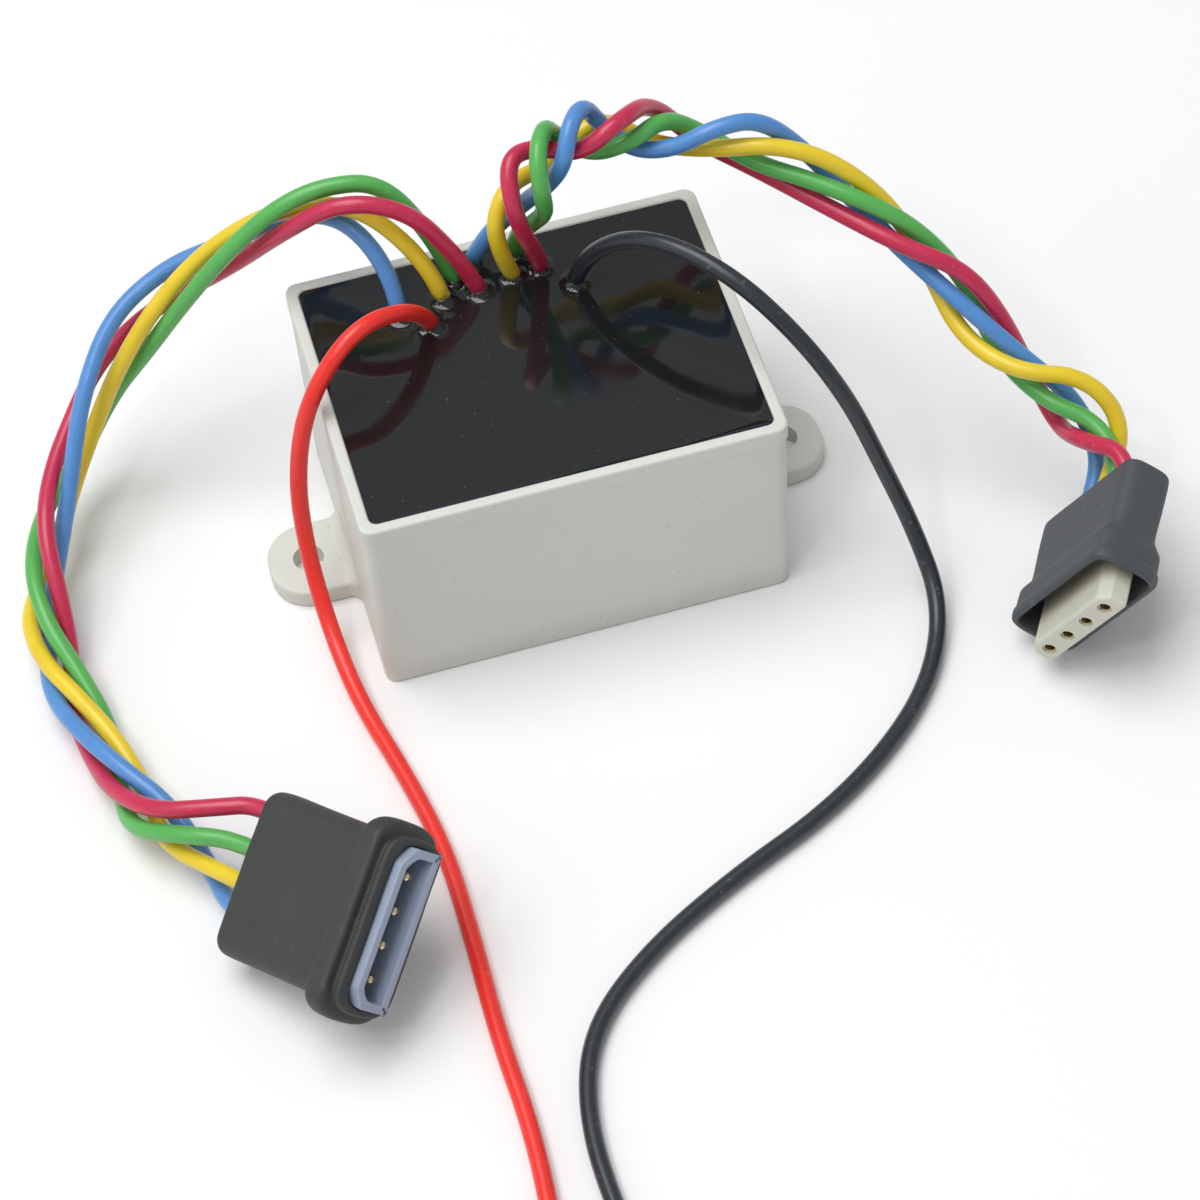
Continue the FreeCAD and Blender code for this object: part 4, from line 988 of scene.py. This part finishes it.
class SURGE_OT_resin(bpy.types.Operator):
    """Make the resin's free surface, which creeps up the wires and the walls"""

    bl_idname = "surge.resin"
    bl_label = "Resin"

    def execute(self, context):
        sizes = context.scene.surge_resin
        radius = context.scene.surge_wires.diameter / 2
        half_x, half_y = RESIN_HIGH.x, RESIN_HIGH.y
        exits = [exit_point(centreline(bpy.data.objects[name + "_sleeve"])) for name in ROUTES]
        bm = bmesh.new()
        bmesh.ops.create_grid(
            bm, x_segments=round(2 * half_x / sizes.cell), y_segments=round(2 * half_y / sizes.cell),
            size=1, matrix=Matrix.Diagonal((half_x, half_y, 1, 1)),
        )
        near = [
            face for face in bm.faces
            if min((face.calc_center_median().xy - leaves.xy).length for leaves in exits)
            < sizes.fine_reach
        ]
        edges = list({edge for face in near for edge in face.edges})
        bmesh.ops.subdivide_edges(bm, edges=edges, cuts=2, use_grid_fill=True)
        corner = 1.0 * MM
        for vert in bm.verts:
            self.round_corner(vert.co, half_x, half_y, corner)
            vert.co.z = RESIN_HIGH.z + self.rise(vert.co, exits, radius, half_x, half_y, sizes)
        rim = [edge for edge in bm.edges if edge.is_boundary]
        made = bmesh.ops.extrude_edge_only(bm, edges=rim)["geom"]
        skirt = [part for part in made if isinstance(part, bmesh.types.BMVert)]
        for vert in skirt:
            vert.co.z = RESIN_LOW.z
        bmesh.ops.contextual_create(
            bm, geom=[part for part in made if isinstance(part, bmesh.types.BMEdge)]
        )
        make_piece(
            "resin_fill", bm, cast_resin(sizes.tint), ["potting_compound"],
            crease=math.radians(60),
        )
        return {"FINISHED"}

    def round_corner(self, place, half_x, half_y, corner):
        """Bring the grid's four corners in to the round corners of the box."""
        over_x = abs(place.x) - (half_x - corner)
        over_y = abs(place.y) - (half_y - corner)
        if over_x > 0 and over_y > 0:
            reach = math.hypot(over_x, over_y)
            scale = max(over_x, over_y) / reach
            place.x = math.copysign(half_x - corner + over_x * scale, place.x)
            place.y = math.copysign(half_y - corner + over_y * scale, place.y)

    def rise(self, place, exits, radius, half_x, half_y, sizes):
        """Height of the surface above its mean level."""
        height = 0
        for leaves in exits:
            gap = math.hypot(place.x - leaves.x, place.y - leaves.y) - radius
            height += sizes.climb * math.exp(-max(gap, 0) / sizes.creep)
        wall = min(half_x - abs(place.x), half_y - abs(place.y))
        height += sizes.wall_climb * math.exp(-wall / sizes.wall_creep)
        wave = noise.noise(Vector((place.x, place.y, 0)) / sizes.swell_width)
        return min(height, 1.3 * sizes.climb) + sizes.swell * wave


class SURGE_OT_box(bpy.types.Operator):
    """Finish the moulded box"""

    bl_idname = "surge.box"
    bl_label = "Box"

    def execute(self, context):
        finish_nodes(["housing"], moulded_ivory(context.scene.surge_finish.ivory))
        return {"FINISHED"}


class SURGE_OT_inside(bpy.types.Operator):
    """Finish the circuit board and the parts on it, which the resin seals in"""

    bl_idname = "surge.inside"
    bl_label = "Sealed parts"

    def execute(self, context):
        tints = context.scene.surge_finish
        finish_nodes(["circuit_board"], weave_laminate(tints.laminate))
        finish_nodes(["solder_joints"], plated_metal("solder", tints.tin, 0.22))
        discs = ["line_varistor_%d" % number for number in range(1, 5)] + ["power_varistor"]
        finish_nodes(discs, coated_part("varistor_coating", tints.varistor, 0.3))
        brown = (0.16, 0.05, 0.02)
        bars = ["line_resistor_%d" % number for number in range(1, 5)]
        finish_nodes(bars, coated_part("resistor_coating", tints.resistor, 0.35, ((0, 1, 0), 0.8 * MM, brown)))
        silver = (0.6, 0.6, 0.6)
        diodes = ["clamp_diode_1", "clamp_diode_2"]
        finish_nodes(diodes, coated_part("diode_epoxy", tints.epoxy, 0.4, ((1, 0, 0), 4 * MM, silver)))
        finish_nodes(
            ["gas_discharge_tube", "supply_fuse"], coated_part("tube_ceramic", tints.ceramic, 0.45)
        )
        return {"FINISHED"}


class SURGE_PT_module(bpy.types.Panel):
    """Steps that finish the surge protector"""

    bl_idname = "SURGE_PT_module"
    bl_label = "Surge Protector"
    bl_space_type = "VIEW_3D"
    bl_region_type = "UI"
    bl_category = "Surge Protector"

    def draw(self, context):
        for operator in OPERATORS:
            self.layout.operator(operator.bl_idname)


GROUPS = {
    "surge_wires": SurgeWires,
    "surge_resin": SurgeResin,
    "surge_plug": SurgePlug,
    "surge_socket": SurgeSocket,
    "surge_finish": SurgeFinish,
    "surge_studio": SurgeStudio,
}
OPERATORS = (
    SURGE_OT_stage,
    SURGE_OT_plug,
    SURGE_OT_socket,
    SURGE_OT_wires,
    SURGE_OT_resin,
    SURGE_OT_box,
    SURGE_OT_inside,
)


def register():
    for name, group in GROUPS.items():
        bpy.utils.register_class(group)
        setattr(bpy.types.Scene, name, bpy.props.PointerProperty(type=group))
    for kind in (*OPERATORS, SURGE_PT_module):
        bpy.utils.register_class(kind)


def unregister():
    for kind in (SURGE_PT_module, *reversed(OPERATORS)):
        bpy.utils.unregister_class(kind)
    for name, group in reversed(GROUPS.items()):
        delattr(bpy.types.Scene, name)
        bpy.utils.unregister_class(group)


def main():
    register()
    bpy.ops.surge.stage()
    bpy.ops.surge.plug()
    bpy.ops.surge.socket()
    bpy.ops.surge.wires()
    bpy.ops.surge.resin()
    bpy.ops.surge.box()
    bpy.ops.surge.inside()


if __name__ == "__main__":
    main()
